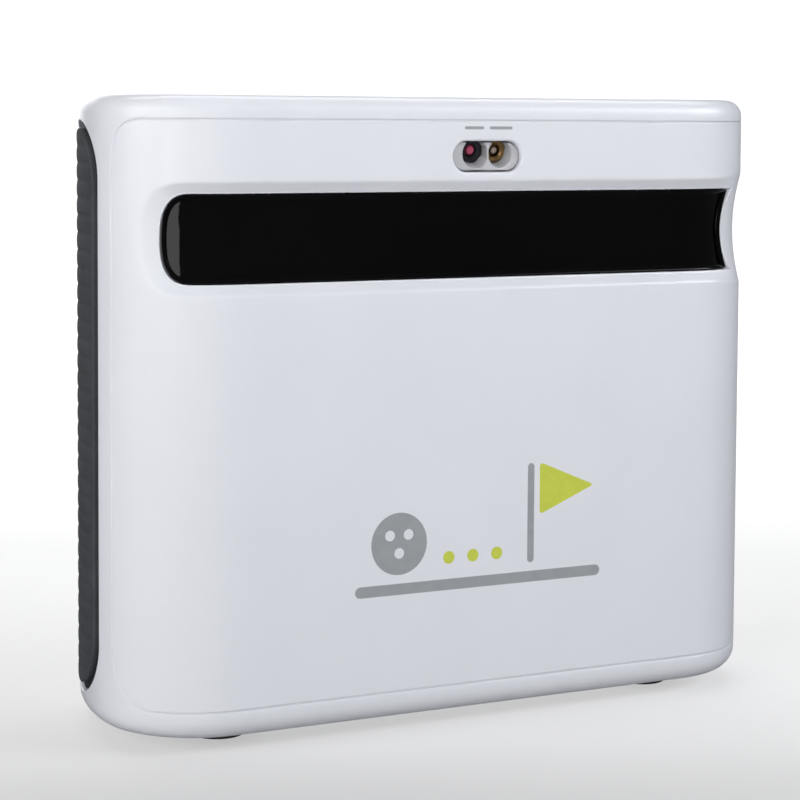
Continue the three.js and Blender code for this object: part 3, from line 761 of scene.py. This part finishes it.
# Each printed loop comes with its ink, or with none for a hole in the print.
NO_INK, GREY, LIME = 0, 1, 2
MARK_X, MARK_Z = -32.0, SHELL_LOW[2] + 30.5
BALL_X, BALL_Z = MARK_X + 11, MARK_Z + 10.5
PIN_X = 14.0


def bar(x0, z0, x1, z1, width):
    """A straight stroke with round ends."""
    a, b = np.array([x0, z0]), np.array([x1, z1])
    heading = math.degrees(math.atan2(*(b - a)[::-1]))
    half = width / 2
    ends = arc(*b, half, half, heading - 90, heading + 90, 8)
    return resample([*ends, *arc(*a, half, half, heading + 90, heading + 270, 8)], 1.5)


def printed_loops():
    """A plain golf pictogram: the ground line, a pin, a ball, the pin's pennant and three dots.
    Then the dimples of the ball, and the two dashes over the aperture."""
    pennant = [(2.4, 14.5), (17.5, 20.7), (2.4, 27)]
    pennant = profile_round([(PIN_X + x, MARK_Z + z) for x, z in pennant], 1.2)
    dash_z = APERTURE_Z + 6.6
    return [
        (bar(MARK_X + 1, MARK_Z, 32, MARK_Z, 2.6), GREY),
        (bar(PIN_X, MARK_Z + 4.2, PIN_X, MARK_Z + 26, 1.8), GREY),
        (circle(BALL_X, BALL_Z, 7.2, 56), GREY),
        (resample(pennant, 1.5), LIME),
        *[(circle(MARK_X + 24 + 6.4 * i, MARK_Z + 6.3, 1.5, 20), LIME) for i in range(3)],
        *[
            (circle(BALL_X + x, BALL_Z + z, 1.25, 18), NO_INK)
            for x, z in [(-2.4, 2), (2.4, 2), (0, -2.2)]
        ],
        (bar(APERTURE_X - 6, dash_z, APERTURE_X - 1.6, dash_z, 0.7), GREY),
        (bar(APERTURE_X + 0.6, dash_z, APERTURE_X + 6, dash_z, 0.7), GREY),
    ]


def front_fascia():
    aperture = pill(APERTURE_X, APERTURE_Z, APERTURE_HALF, APERTURE_RISE)
    holes = [offset(WINDOW, RIM), offset(aperture, APERTURE_EDGE)]
    prints = printed_loops()
    outline = offset(FASCIA, -RIM)
    at, faces = fill(outline, holes, recess_rows(), [loop for loop, _ in prints], grid=2.3)
    s, z = at.T
    near = np.abs(at - [APERTURE_X, APERTURE_Z]) < [APERTURE_HALF + 1.5, APERTURE_RISE + 1.5]
    rim = np.where(near.all(1), APERTURE_EDGE, RIM)
    shape = wall_body(s, z, recess_depth(s, z), FASCIA_THICK, faces, rim, 4)
    marks = np.zeros(len(shape[1]), int)
    centre = at[faces].mean(1)
    for loop, ink in prints:
        marks[: len(faces)][inside(centre, loop)] = ink
    inks = (PRINT_GREY, PRINT_LIME)
    mesh_piece(
        "front_fascia_panel", shape, "shell_white", ["front_fascia"], inks=inks, marks=marks
    )


front_fascia()


# --- Front housing and rear cover ---
GRIP_LOW, GRIP_HIGH = node_box("right_grip_bezel")
GRIP_HALF = 15.0
GRIP_Y = GRIP_LOW[1] + GRIP_HALF - 0.07
GRIP_ROUND = 13.5


def grip_outline(grow):
    """The grip's outline in (y, z): straight sides and elliptical ends."""
    half, rise = GRIP_HALF + grow, GRIP_ROUND
    top = arc(GRIP_Y, GRIP_HIGH[2] + grow - rise, half, rise, 0, 180, 40)
    bottom = arc(GRIP_Y, GRIP_LOW[2] - grow + rise, half, rise, 180, 360, 40)
    return resample([*top, *bottom], 2.0)


def grip_hole(side):
    """The hole for the right (1) or left (-1) grip, as an anticlockwise (s, z)."""
    outline = grip_outline(GAP + RIM)
    loop = np.column_stack([side * s_of_y(outline[:, 0]), outline[:, 1]])
    return loop if side > 0 else loop[::-1]


def wall_edge(stations, radius, up):
    """The rounding from the wall to the top (up 1) or the underside (up -1)."""
    start_z = WALL_Z1 if up > 0 else WALL_Z0
    sheets = [[], []]
    turns = np.linspace(0, math.pi / 2, 8)
    for t in turns:
        for sheet, reach in zip(sheets, (radius, radius - WALL)):
            inset, height = radius - reach * math.cos(t), start_z + up * reach * math.sin(t)
            sheet.append(on_wall(stations, height, inset))
    count = len(stations)
    faces = []
    for k in range(len(turns) - 1):
        for j in range(count - 1):
            a, b = k * count + j, k * count + j + 1
            ring = [a, b, b + count, a + count]
            faces.append(ring if up > 0 else ring[::-1])
    return np.vstack(sheets[0]), np.vstack(sheets[1]), faces


def end_plate(stations, radius, up, holes=()):
    """The flat top or underside inside its rounding."""
    z = SHELL_HIGH[2] if up > 0 else SHELL_LOW[2]
    ring = on_wall(stations, 0, radius)[:, :2]
    seam = resample([ring[-1], ring[0]], 4.0, closed=False)[1:-1]
    at, faces = fill(np.vstack([ring, seam]), holes, grid=5.0)
    return level(at, z), level(at, z - up * WALL), faces if up > 0 else faces[:, ::-1]


def split(outer, inner, faces, y, keep_front):
    """What lies before (or behind) the plane at y."""
    build = bmesh.new()
    layer = build.verts.layers.float_vector.new("inner")
    verts = [build.verts.new(p) for p in outer]
    for v, p in zip(verts, inner):
        v[layer] = p
    for face in faces:
        build.faces.new([verts[i] for i in face])
    bmesh.ops.bisect_plane(
        build, geom=[*build.verts, *build.edges, *build.faces], dist=0.01,
        plane_co=(0, y, 0), plane_no=(0, 1 if keep_front else -1, 0), clear_outer=True,
    )
    bmesh.ops.remove_doubles(build, verts=build.verts, dist=0.04)
    loose = [v for v in build.verts if not v.link_faces]
    bmesh.ops.delete(build, geom=loose, context="VERTS")
    build.verts.index_update()
    outer = np.array([tuple(v.co) for v in build.verts])
    inner = np.array([tuple(v[layer]) for v in build.verts])
    faces = [[v.index for v in f.verts] for f in build.faces]
    build.free()
    return outer, inner, faces


def shell_half(chart, width, holes, rows, y, keep_front, bottom_holes=()):
    """One half of the shell, from a chart of the wall that is 2 x width long."""
    line = np.linspace(-width, width, math.ceil(2 * width / GRID) + 1)
    sides = np.arange(WALL_Z0 + GRID, WALL_Z1 - GRID / 2, GRID)
    outline = np.vstack([
        level(line, WALL_Z0),
        np.column_stack([np.full(len(sides), width), sides]),
        level(line[::-1], WALL_Z1),
        np.column_stack([np.full(len(sides), -width), sides[::-1]]),
    ])
    at, faces = fill(outline, holes, rows)
    s, z = chart(at[:, 0]), at[:, 1]
    sheets = [(on_wall(s, z, recess_depth(s, z)), on_wall(s, z, WALL), faces)]
    stations = chart(line)
    for radius, up in ((TOP_EDGE, 1), (BOTTOM_EDGE, -1)):
        sheets.append(wall_edge(stations, radius, up))
        sheets.append(end_plate(stations, radius, up, bottom_holes if up < 0 else ()))
    return close_sheet(*split(*join_sheets(sheets), y, keep_front), RIM)


WHEELS = [middle("left_levelling_wheel"), middle("right_levelling_wheel")]
WHEEL_POCKET = 9.8


def front_housing():
    holes = [offset(FASCIA, GAP + RIM), grip_hole(1), grip_hole(-1)]
    pockets = [circle(c[0], c[1], WHEEL_POCKET + RIM) for c in WHEELS]
    width, cut = float(s_of_y(25.0)), HOUSING_SPLIT_Y - RIM
    shape = shell_half(lambda s: s, width, holes, recess_rows(), cut, True, pockets)
    mesh_piece("front_housing_shell", shape, "shell_white", ["front_housing"])


BUTTONS = {"power": middle("power_button"), "mode": middle("mode_button")}
BUTTON_R = {"power": 5.5, "mode": 4.0}
PIPES = [middle(f"status_light_pipe_{i}") for i in (1, 2, 3)]
PIPE_R = 1.4
USB = middle("usb_connector")
SCREWS = [middle(f"cover_screw_{i}") for i in (1, 2, 3, 4)]
SCREW_HOLE = 3.4


def rear_cover():
    holes = []
    for side in (1, -1):
        loop = grip_hole(side)
        q = -np.sign(loop[:, 0]) * (S_END - np.abs(loop[:, 0]))
        holes.append(np.column_stack([q, loop[:, 1]]))
    for name, c in BUTTONS.items():
        holes.append(circle(-c[0], c[2], BUTTON_R[name] + GAP + RIM))
    holes += [circle(-c[0], c[2], PIPE_R + GAP + 0.15, 24) for c in PIPES]
    socket = rounded(-USB[0] - 4.9, -USB[0] + 4.9, USB[2] - 2.4, USB[2] + 2.4, 1.2, 1.2, 6)
    holes.append(offset(resample(socket, 1.5), RIM))
    holes += [circle(-c[0], c[2], SCREW_HOLE + RIM) for c in SCREWS]
    width, cut = float(S_END - s_of_y(-11.0)), COVER_SPLIT_Y + RIM
    shape = shell_half(s_of_back, width, holes, [], cut, False)
    mesh_piece("rear_cover_shell", shape, "shell_white", ["rear_cover"])


front_housing()
rear_cover()


# --- Seam ledge round the fascia ---
LEDGE_DEPTH = 0.2


def fascia_ledge():
    """The housing's ledge shows as the floor of the narrow groove round the fascia."""
    at, faces = fill(offset(FASCIA, GAP - 0.03), [offset(FASCIA, 0.03)], grid=50)
    s, z = at.T
    depth = recess_depth(s, z) + LEDGE_DEPTH
    shape = wall_body(s, z, depth, depth + 1.0, faces, 0.01, 1)
    mesh_piece("fascia_groove_ledge", shape, "shell_white")


fascia_ledge()


# --- Window ---
def window_lens():
    at, faces = fill(offset(offset(WINDOW, -GAP), -0.2), grid=2.4)
    shape = wall_body(*at.T, LENS_DEPTH, LENS_DEPTH + LENS_THICK, faces, 0.2)
    mesh_piece("window_pane", shape, "window_black", ["window_lens"])


def window_gasket():
    """A ring whose face slopes down to the pane."""
    profile = [(0, 0.75), (0, 0.12), (0.1, 0), (0.3, 0.02), (0.95, 0.55), (1.0, 0.62), (1.0, 0.75)]
    points, count = [], len(WINDOW)
    for inset, depth in profile:
        at = offset(WINDOW, -(GAP + inset))
        points.append(on_wall(*at.T, RECESS_DEPTH + depth))
    shape = np.vstack(points), ring_faces(len(profile), count)
    mesh_piece("window_gasket_ring", shape, "window_black", ["window_gasket"])


window_lens()
window_gasket()


# --- Grips ---
BEZEL_SINK = 0.8
BEZEL_THICK = 1.7
BEZEL_RIM = 0.25
PAD_LOW, PAD_HIGH = node_box("right_grip_pad")
PAD_Z = (PAD_LOW[2] + PAD_HIGH[2]) / 2
PAD_INSET = PAD_LOW[2] - GRIP_LOW[2]
PAD_PROUD = PAD_HIGH[0] - SHELL_HIGH[0]
PAD_RIM = 0.45
RIB_PITCH = 4.0
RIB_DEPTH = 0.4


def grip_bezel():
    at, faces = fill(grip_outline(-BEZEL_RIM), grid=2.2)
    s = s_of_y(at[:, 0])
    return wall_body(s, at[:, 1], BEZEL_SINK, BEZEL_SINK + BEZEL_THICK, faces, BEZEL_RIM)


def rib(z):
    """0 on top of a rib and 1 in the groove between two."""
    phase = np.abs(((z - PAD_Z) / RIB_PITCH) % 1 - 0.5) * 2
    return 1 - np.sqrt(np.clip(1 - phase**2.6, 0, 1)) ** 0.8


def grip_pad():
    outline = grip_outline(-PAD_INSET - PAD_RIM)
    across = np.arange(GRIP_Y - GRIP_HALF, GRIP_Y + GRIP_HALF, 1.6)
    lines = [level(across, z) for z in np.arange(PAD_LOW[2], PAD_HIGH[2], 0.5)]
    at, faces = fill(outline, rows=lines, grid=40)
    s, z = s_of_y(at[:, 0]), at[:, 1]
    ribbed = smooth(edge_distance(at, outline), 0.25, 1.0)
    depth = -PAD_PROUD + RIB_DEPTH * rib(z) * ribbed
    return wall_body(s, z, depth, BEZEL_SINK - 0.02, faces, PAD_RIM)


def grips():
    for name, (points, faces), slot in (
        ("bezel", grip_bezel(), "dark_plastic"),
        ("pad", grip_pad(), "grip_rubber"),
    ):
        mirrored = points * [-1, 1, 1], [f[::-1] for f in faces]
        for side, shape in (("right", (points, faces)), ("left", mirrored)):
            mesh_piece(f"{side}_grip_{name}_moulding", shape, slot, [f"{side}_grip_{name}"])


grips()


# --- Laser aperture ---
SHROUD_RIM = 0.22


def bitten(loop, hole):
    """The loop with the part of the hole that crosses it cut away."""
    cut = inside(loop, hole)
    start = next(i for i in range(len(loop)) if cut[i - 1] and not cut[i])
    kept = np.roll(loop, -start, 0)[~np.roll(cut, -start)]
    within = inside(hole, loop)
    first = next(i for i in range(len(hole)) if within[i] and not within[i - 1])
    bite = np.roll(hole, -first, 0)[np.roll(within, -first)]
    return np.vstack([kept, bite[::-1]])


def aperture_shroud():
    """The white insert round the two lasers. Its bores are tilted, so they rise to the rear,
    and they open to the left, where the aperture is looked into."""
    rise = math.tan(BARREL_TILT)
    inset = GAP + SHROUD_RIM
    outline = pill(APERTURE_X, APERTURE_Z, APERTURE_HALF - inset, APERTURE_RISE - inset)
    outline = resample(outline, 0.12)
    bore = BARREL_R + inset
    bores, flares = [], ((POINTER, 0.45), (ALIGNMENT, 0.2))
    for place, flare in flares:
        x, y, z = place.translation
        z += (APERTURE_LOW[1] - y) * rise
        wide = bore + flare
        loop = arc(x - flare, z, wide, wide / math.cos(BARREL_TILT), 0, 360, 96)[:-1]
        bores.append(np.array(loop))
    for loop in bores:
        outline = bitten(outline, loop)
    at, faces = fill(outline, grid=0.6)
    deep = APERTURE_HIGH[1] - APERTURE_LOW[1]
    near = 1 - smooth(edge_distance(at, np.vstack(bores)), 0.1, 0.7)
    outer = level(at, APERTURE_LOW[1])[:, [0, 2, 1]]
    inner = np.column_stack([at[:, 0], outer[:, 1] + deep, at[:, 1] + deep * rise * near])
    for (place, flare), loop in zip(flares, bores):
        close = 1 - smooth(edge_distance(at, loop), 0.1, 0.7)
        x, z = place.translation[0] - flare, loop[:, 1].mean()
        inner[:, 0] += close * flare * (1 - (at[:, 0] - x) / (bore + flare))
        inner[:, 2] -= close * flare * (at[:, 1] - z) / (bore + flare)
    inner[:, 2] = np.minimum(inner[:, 2], APERTURE_HIGH[2] - SHROUD_RIM)
    shape = close_sheet(outer, inner, faces, SHROUD_RIM)
    # The insert's grey is painted shade over its white plastic.
    white = moulded("insert_white_painted_shade", INSERT_PAINTED_SHADE_TONES, 0.5)
    mesh_piece("aperture_insert", shape, "shell_white", ["aperture_shroud"], material=white)


def laser(name, place, bore, metal, glass, tint=None):
    """A barrel with a domed lens sunk in its face."""
    corners = [(0, 1.6), (bore, 1.6), (bore, 0.55), (bore + 0.4, 0.0)]
    corners += [(BARREL_R, 0), (BARREL_R, BARREL_LENGTH), (0, BARREL_LENGTH)]
    rounds = [0, 0.05, 0.05, 0.12, 0.2, 0.3, 0]
    turned_piece(
        f"{name}_laser_tube", corners, rounds, 72, place, metal, [f"{name}_laser_barrel"]
    )
    r = bore - GAP
    dome = [(0, 1.3), (r, 1.3), (r, 0.9), (0.8 * r, 0.66), (0.45 * r, 0.54), (0, 0.5)]
    rounds = [0, 0.05, 0.1, 0.15, 0.2, 0]
    turned_piece(
        f"{name}_laser_glass", dome, rounds, 48, place, glass, [f"{name}_laser_lens"],
        material=tint,
    )


# The alignment lens darkens towards its rim with painted shade.
AMBER_LENS_PAINTED_SHADE = laser_lens("alignment_lens_painted_shade", ALIGNMENT, (0.42, 0.33, 0.27), (0.035, 0.02, 0.012), 1.3)
aperture_shroud()
laser("pointer", POINTER, 1.5, "dark_plastic", "red_lens")
laser("alignment", ALIGNMENT, 1.4, "brass", "clear_plastic", AMBER_LENS_PAINTED_SHADE)


# --- Feet ---
WHEEL_R = 9.0
WHEEL_RIDGES = 24
RIDGE_DEPTH = 0.55
STEM_R = 3.0
STEM_FLAT = 2.3
FLANGE_R = 5.0
FLANGE_THICK = 0.75
SOLE_R = 6.0
THREAD_PITCH = 1.0
THREAD_DEPTH = 0.3
THREAD_FROM, THREAD_TO = 2.5, 23.5


def wheel_scallop(angle, r, z):
    edge = smooth(r, WHEEL_R - 1.2, WHEEL_R - 0.4)
    return -RIDGE_DEPTH * edge * (0.5 - 0.5 * math.cos(WHEEL_RIDGES * angle)) ** 2


def thread(angle, r, z):
    if not THREAD_FROM < z < THREAD_TO or abs(r - STEM_R) > 0.01:
        return 0
    turn = (z / THREAD_PITCH - angle / (2 * math.pi)) % 1
    return -THREAD_DEPTH * abs(2 * turn - 1)


def levelling_foot(side):
    """A wheel in its pocket, and a screw that carries a rubber sole."""
    wheel, stem, sole = (f"{side}_levelling_{part}" for part in ("wheel", "stem", "foot_pad"))
    x, y, _ = middle(stem)
    place = Matrix.Translation((x, y, 0))
    z0, z1 = (corner[2] for corner in node_box(wheel))
    hole = STEM_R + GAP
    corners = [(hole, z0 + 0.7), (6.6, z0 + 0.7), (7.2, z0), (WHEEL_R, z0)]
    corners += [(WHEEL_R, z1), (7.2, z1), (6.6, z1 - 0.4), (hole, z1 - 0.4)]
    rounds = [0.15, 0.2, 0.2, 0.6, 0.6, 0.2, 0.2, 0.15]
    turned_piece(
        f"{side}_levelling_knob", corners, rounds, 8 * WHEEL_RIDGES, place, "dark_plastic",
        [wheel], wheel_scallop, body=f"{side}_wheel",
    )
    roof, floor = z1 + GAP, SHELL_LOW[2] + WALL - 0.05
    z0, z1 = (corner[2] for corner in node_box(stem))
    flange = z0 + FLANGE_THICK
    corners = [(0, z0), (FLANGE_R, z0), (FLANGE_R, flange), (STEM_R, flange)]
    corners += [(STEM_R, z) for z in np.arange(flange + 0.25, z1 - 0.6, 0.125)]
    corners += [(STEM_R - 0.5, z1), (0, z1)]
    points, faces = lathe(corners, 48, thread)
    above = points[:, 2] > flange
    points[above, 1] = np.clip(points[above, 1], -STEM_FLAT, STEM_FLAT)
    screw = moved((points, faces), place)
    mesh_piece(f"{side}_levelling_screw", screw, "steel", [stem], f"{side}_foot")
    high = node_box(sole)[1][2]
    corners = [(0, 0.3), (1.3, 0.3), (1.5, 0), (2.6, 0), (2.8, 0.3), (3.6, 0.3), (3.8, 0)]
    corners += [(SOLE_R, 0), (SOLE_R, high), (0, high)]
    rounds = [0, 0.1, 0.1, 0.1, 0.1, 0.1, 0.1, 0.4, 0.35, 0]
    turned_piece(
        f"{side}_levelling_sole", corners, rounds, 64, place, "foot_rubber", [sole],
        body=f"{side}_foot",
    )
    corners = [(WHEEL_POCKET, floor), (WHEEL_POCKET + 1.6, floor), (WHEEL_POCKET + 1.6, roof + 2)]
    corners += [(5.6, roof + 2), (5.6, 20), (hole, 20), (hole, roof), (WHEEL_POCKET, roof)]
    turned_piece(f"{side}_wheel_pocket", corners, 0.25, 72, place, "shell_white")


FOOT_BAR_RIM = 0.4
FOOT_GROOVE_PITCH = 4.0
FOOT_GROOVE_DEPTH = 0.5
PEG_X, PEG_R = 14, 2.0


def rear_foot():
    """A rubber bar with grooves across it, on two pegs."""
    low, high = node_box("rear_foot_pad")
    (x, y, _), (half, rise, _) = (low + high) / 2, (high - low) / 2 - FOOT_BAR_RIM
    top = SHELL_LOW[2] - GAP
    outline = pill(x, y, half, rise)
    rows = [
        np.column_stack([np.full(9, gx), np.linspace(low[1] + 0.6, high[1] - 0.6, 9)])
        for gx in np.arange(low[0] + 1, high[0], 0.5)
    ]
    at, faces = fill(outline, rows=rows, grid=40)
    groove = smooth(np.cos(at[:, 0] * 2 * math.pi / FOOT_GROOVE_PITCH), 0.55, 0.95)
    groove = FOOT_GROOVE_DEPTH * groove * smooth(edge_distance(at, outline), 0.2, 0.8)
    bar_sheet = level(at, low[2] + groove), level(at, top), faces[:, ::-1]
    points, made = close_sheet(*bar_sheet, FOOT_BAR_RIM)
    profile = [(0, top - 0.2), (PEG_R, top - 0.2), (PEG_R, high[2] - 0.4)]
    profile += [(PEG_R - 0.4, high[2]), (0, high[2])]
    for side in (-PEG_X, PEG_X):
        peg, sides = moved(lathe(profile, 32), Matrix.Translation((side, y, 0)))
        made += [[v + len(points) for v in face] for face in sides]
        points = np.vstack([points, peg])
    mesh_piece("rear_foot_bar", (points, made), "foot_rubber", ["rear_foot_pad"])


levelling_foot("left")
levelling_foot("right")
rear_foot()


# --- Controls on the back ---
def push_button(name):
    """A cap with a dished face and an inlaid ring (power) or dot (mode)."""
    x, _, z = middle(f"{name}_button")
    (_, base, _), (_, face, _) = node_box(f"{name}_button")
    r = BUTTON_R[name]
    flange = r + 1.2
    ring_in, ring_out = (1.9, 2.35) if name == "power" else (0.0, 0.75)
    corners = [(0, base), (1.8, base), (1.8, base + 0.6), (flange, base + 0.6)]
    corners += [(flange, base + 2.1), (r, base + 2.1), (r, face)]
    corners += [(r - 1.0, face - 0.02), (0.62 * r, face - 0.2)]
    rounds = [0, 0.1, 0.1, 0.3, 0.3, 0.1, 0.55, 0.3, 0.5]
    corners += [(ring_out + 0.02, face - 0.3), (ring_out, face - 0.33), (ring_in, face - 0.33)]
    if name == "power":
        corners += [(ring_in - 0.02, face - 0.3), (0, face - 0.34)]
    rounds += [0] * (len(corners) - len(rounds))
    points, faces = moved(lathe(profile_round(corners, rounds), 72), TO_BACK)
    points = np.array(points) + [x, 0, z]
    centre = np.array([points[f].mean(0) for f in faces])
    away = np.hypot(centre[:, 0] - x, centre[:, 2] - z)
    marks = (centre[:, 1] > face - 0.45) & (away > ring_in - 0.01) & (away < ring_out + 0.02)
    mesh_piece(
        f"{name}_button_cap", (points, faces), "shell_white", [f"{name}_button"],
        f"{name}_button", inks=(PRINT_GREY,), marks=marks.astype(int),
    )


def light_pipe(index):
    name = f"status_light_pipe_{index}"
    (_, base, _), (_, face, _) = node_box(name)
    corners = [(0, base), (2.1, base), (2.1, 28.6), (PIPE_R, 28.6)]
    corners += [(PIPE_R, face - 0.35), (0.8, face - 0.06), (0, face)]
    rounds = [0, 0.2, 0.2, 0.1, 0.2, 0.3, 0]
    place = back_place(name)
    turned_piece(f"status_light_{index}", corners, rounds, 40, place, "clear_plastic", [name])


def usb_port():
    """A rolled steel shell with a tongue inside it."""
    low, high = node_box("usb_connector")
    x, z = USB[0], USB[2]
    half, rise = (high[0] - low[0]) / 2, (high[2] - low[2]) / 2
    to_back = Matrix.Translation((x, 0, z)) @ Matrix.Rotation(math.pi, 4, "Z")
    outline = resample(rounded(-half, half, -rise, rise, rise - 0.01, rise - 0.01, 10), 0.8)
    tube = plate(outline, [offset(outline, -0.42)], -high[1], -low[1], 0.12, 0.6)
    mesh_piece("usb_shell", moved(tube, to_back), "steel", ["usb_connector"])
    blade = resample(rounded(-2.9, 2.9, -0.35, 0.35, 0.15, 0.15, 4), 0.8)
    tongue = plate(blade, [], -high[1] + 1.4, -low[1], 0.08, 0.5)
    mesh_piece("usb_tongue", moved(tongue, to_back), "dark_plastic")


def drive(angle, r, z):
    """Six lobes round the socket of a screw."""
    return 0.26 * math.cos(6 * angle) if 1.3 < r < 1.7 and z > 24.6 else 0


def cover_screw(index):
    """A screw, and the well in the cover that it sits in."""
    name = f"cover_screw_{index}"
    low, high = node_box(name)
    place = back_place(name)
    base, top, r = low[1], high[1], (high[0] - low[0]) / 2
    seat, inner_y = top - 1.8, BACK_Y - WALL + 0.05
    corners = [(0, base), (1.1, base), (1.35, base + 0.5), (1.35, seat), (r, seat)]
    corners += [(r, top), (1.5, top), (1.5, top - 1.1), (0, top - 1.1)]
    rounds = [0, 0.1, 0.1, 0.05, 0.15, 0.6, 0.12, 0.05, 0]
    turned_piece(
        f"cover_screw_head_{index}", corners, rounds, 72, place, "steel", [name], drive
    )
    corners = [(SCREW_HOLE, seat - GAP), (SCREW_HOLE, inner_y), (4.6, inner_y)]
    corners += [(4.6, 20.3), (1.6, 20.3), (1.6, seat - GAP)]
    turned_piece(f"cover_screw_well_{index}", corners, 0.2, 48, place, "shell_white")


push_button("power")
push_button("mode")
for number in (1, 2, 3):
    light_pipe(number)
usb_port()
for number in (1, 2, 3, 4):
    cover_screw(number)


# --- Inside ---
INSIDE_BEVEL = 0.12


def dress_frame():
    """The pieces inside the shell are the CAD nodes themselves, with these finishes and a small
    bevel on their edges."""
    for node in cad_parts.values():
        finish = node.data.materials[0].name.split(".")[0]
        node.data.materials[0] = MATERIALS[finish]
        bevel = node.modifiers.new("edge", "BEVEL")
        bevel.width = INSIDE_BEVEL * MM
        bevel.segments = 2
        bevel.limit_method = "ANGLE"
        bevel.angle_limit = math.radians(40)


dress_frame()


# --- Camera ---
# The photograph's view, in metres and radians.
CAMERA_AT = (-0.26803, -0.49905, 0.14059)
HEADING, PITCH, ROLL = 0.48596, 0.06824, 0.00567
LENS, SHIFT = 105.03, -0.15


def camera():
    data = bpy.data.cameras.new("camera")
    data.lens = LENS
    data.sensor_width = 36.0
    data.shift_y = SHIFT
    data.clip_start, data.clip_end = 0.01, 30
    view = add_object("camera", data)
    view.matrix_world = (
        Matrix.Translation(CAMERA_AT)
        @ Matrix.Rotation(-HEADING, 4, "Z")
        @ Matrix.Rotation(math.pi / 2 - PITCH, 4, "X")
        @ Matrix.Rotation(ROLL, 4, "Z")
    )
    bpy.context.scene.camera = view


camera()


# --- Stage and light ---
# In metres. The floor's tone is painted shade that changes along the camera's heading, between
# these two distances.
STAGE_FLAT, STAGE_ROUND, STAGE_HIGH = 1.6, 0.7, 3.2
STAGE_STEPS = 96
STAGE_HEADING = 0.486
TONE_FROM, TONE_TO = -1.25, 0.6
TONES = [
    (0.3, 0.47), (0.5, 0.3), (0.6, 0.25), (0.65, 0.36), (0.67, 0.38), (0.7, 0.4), (0.78, 0.41),
    (0.85, 0.46),
]
STAGE_PAINTED_GLOW = 1.3


def stage():
    """A pale floor that curves up all round into a wall. Its colour is painted shade along the
    camera's heading, and it glows with painted light. It casts no light on the object.
    """
    line = [(0.3, 0.0), (STAGE_FLAT, 0.0)]
    for t in np.linspace(0, math.pi / 2, 16)[1:]:
        line.append((STAGE_FLAT + STAGE_ROUND * math.sin(t), STAGE_ROUND * (1 - math.cos(t))))
    line.append((STAGE_FLAT + STAGE_ROUND, STAGE_HIGH))
    turns = np.linspace(0, 2 * math.pi, STAGE_STEPS, endpoint=False)
    points = [(r * math.cos(a), r * math.sin(a), z) for r, z in line for a in turns]
    faces = [list(range(STAGE_STEPS))]
    faces += [[a, d, c, b] for a, b, c, d in ring_faces(len(line), STAGE_STEPS)[:-STAGE_STEPS]]
    mesh = bpy.data.meshes.new("floor")
    mesh.from_pydata(points, [], faces)
    for face in mesh.polygons:
        face.use_smooth = True
    floor = add_object("floor", mesh)
    floor.visible_diffuse = False
    floor.visible_glossy = False
    floor.visible_shadow = False
    n = Nodes("stage_painted_shade_and_glow", 0.9, Specular_IOR_Level=0.1)
    ahead = Matrix.Rotation(-STAGE_HEADING, 3, "Z") @ Vector((0, 1, 0))
    along = n.new("ShaderNodeVectorMath", {1: ahead}, {0: n.place}, operation="DOT_PRODUCT")
    span = {"From Min": TONE_FROM, "From Max": TONE_TO}
    near = n.new("ShaderNodeMapRange", span, {"Value": along.outputs["Value"]})
    # The ramp is painted shade, darkest just in front of the object, and the floor glows with it
    # as painted light.
    tone = n.ramp(near.outputs["Result"], TONES)
    n.link(tone, n.shader.inputs["Base Color"])
    n.link(tone, n.shader.inputs["Emission Color"])
    n.shader.inputs["Emission Strength"].default_value = STAGE_PAINTED_GLOW
    mesh.materials.append(n.material)


def softbox(name, place, target, size, power, color=(1, 1, 1), glossy=True, spread=180):
    data = bpy.data.lights.new(name, "AREA")
    data.shape = "RECTANGLE"
    data.size, data.size_y = size
    data.energy = power
    data.color = color
    data.spread = math.radians(spread)
    lamp = add_object(name, data)
    lamp.location = place
    lamp.visible_camera = False
    lamp.visible_glossy = glossy
    lamp.rotation_mode = "QUATERNION"
    lamp.rotation_quaternion = (Vector(target) - Vector(place)).to_track_quat("-Z", "Y")


MIDDLE = (0, 0, 0.07)
SKY_COLOR, SKY_STRENGTH = (0.93, 0.95, 1, 1), 0.1


def lights():
    softbox("strip_key", (-1.24, -0.97, 0.55), (-0.07, -0.03, 0.08), (0.4, 1.2), 5.7)
    softbox("low_key", (-0.5, -1.3, 0.25), (0, 0, 0.42), (0.9, 0.4), 1.3, glossy=False, spread=50)
    softbox("under_fill", (-0.4, -0.8, -0.7), (0, 0, 0.08), (1.0, 0.7), 3.4, glossy=False)
    softbox("right_fill", (1.3, -0.9, 0.9), MIDDLE, (0.9, 0.7), 17, (0.95, 0.97, 1))
    softbox("left_side", (-1.5, -0.15, 0.6), MIDDLE, (0.9, 1.0), 11)
    softbox("back_fill", (0.4, 1.5, 0.4), MIDDLE, (1.2, 0.6), 6)
    softbox("top", (0, 0.2, 1.9), (0, 0, 0), (2.0, 1.4), 1)
    softbox("backdrop_wash", (0.5, 0.9, 1.9), (0.9, 2.1, 0.3), (2.4, 0.6), 46)
    world = bpy.data.worlds.new("world")
    world.use_nodes = True
    sky = world.node_tree.nodes["Background"]
    sky.inputs["Color"].default_value = SKY_COLOR
    sky.inputs["Strength"].default_value = SKY_STRENGTH
    bpy.context.scene.world = world
    bpy.context.scene.view_settings.view_transform = "Standard"


stage()
lights()
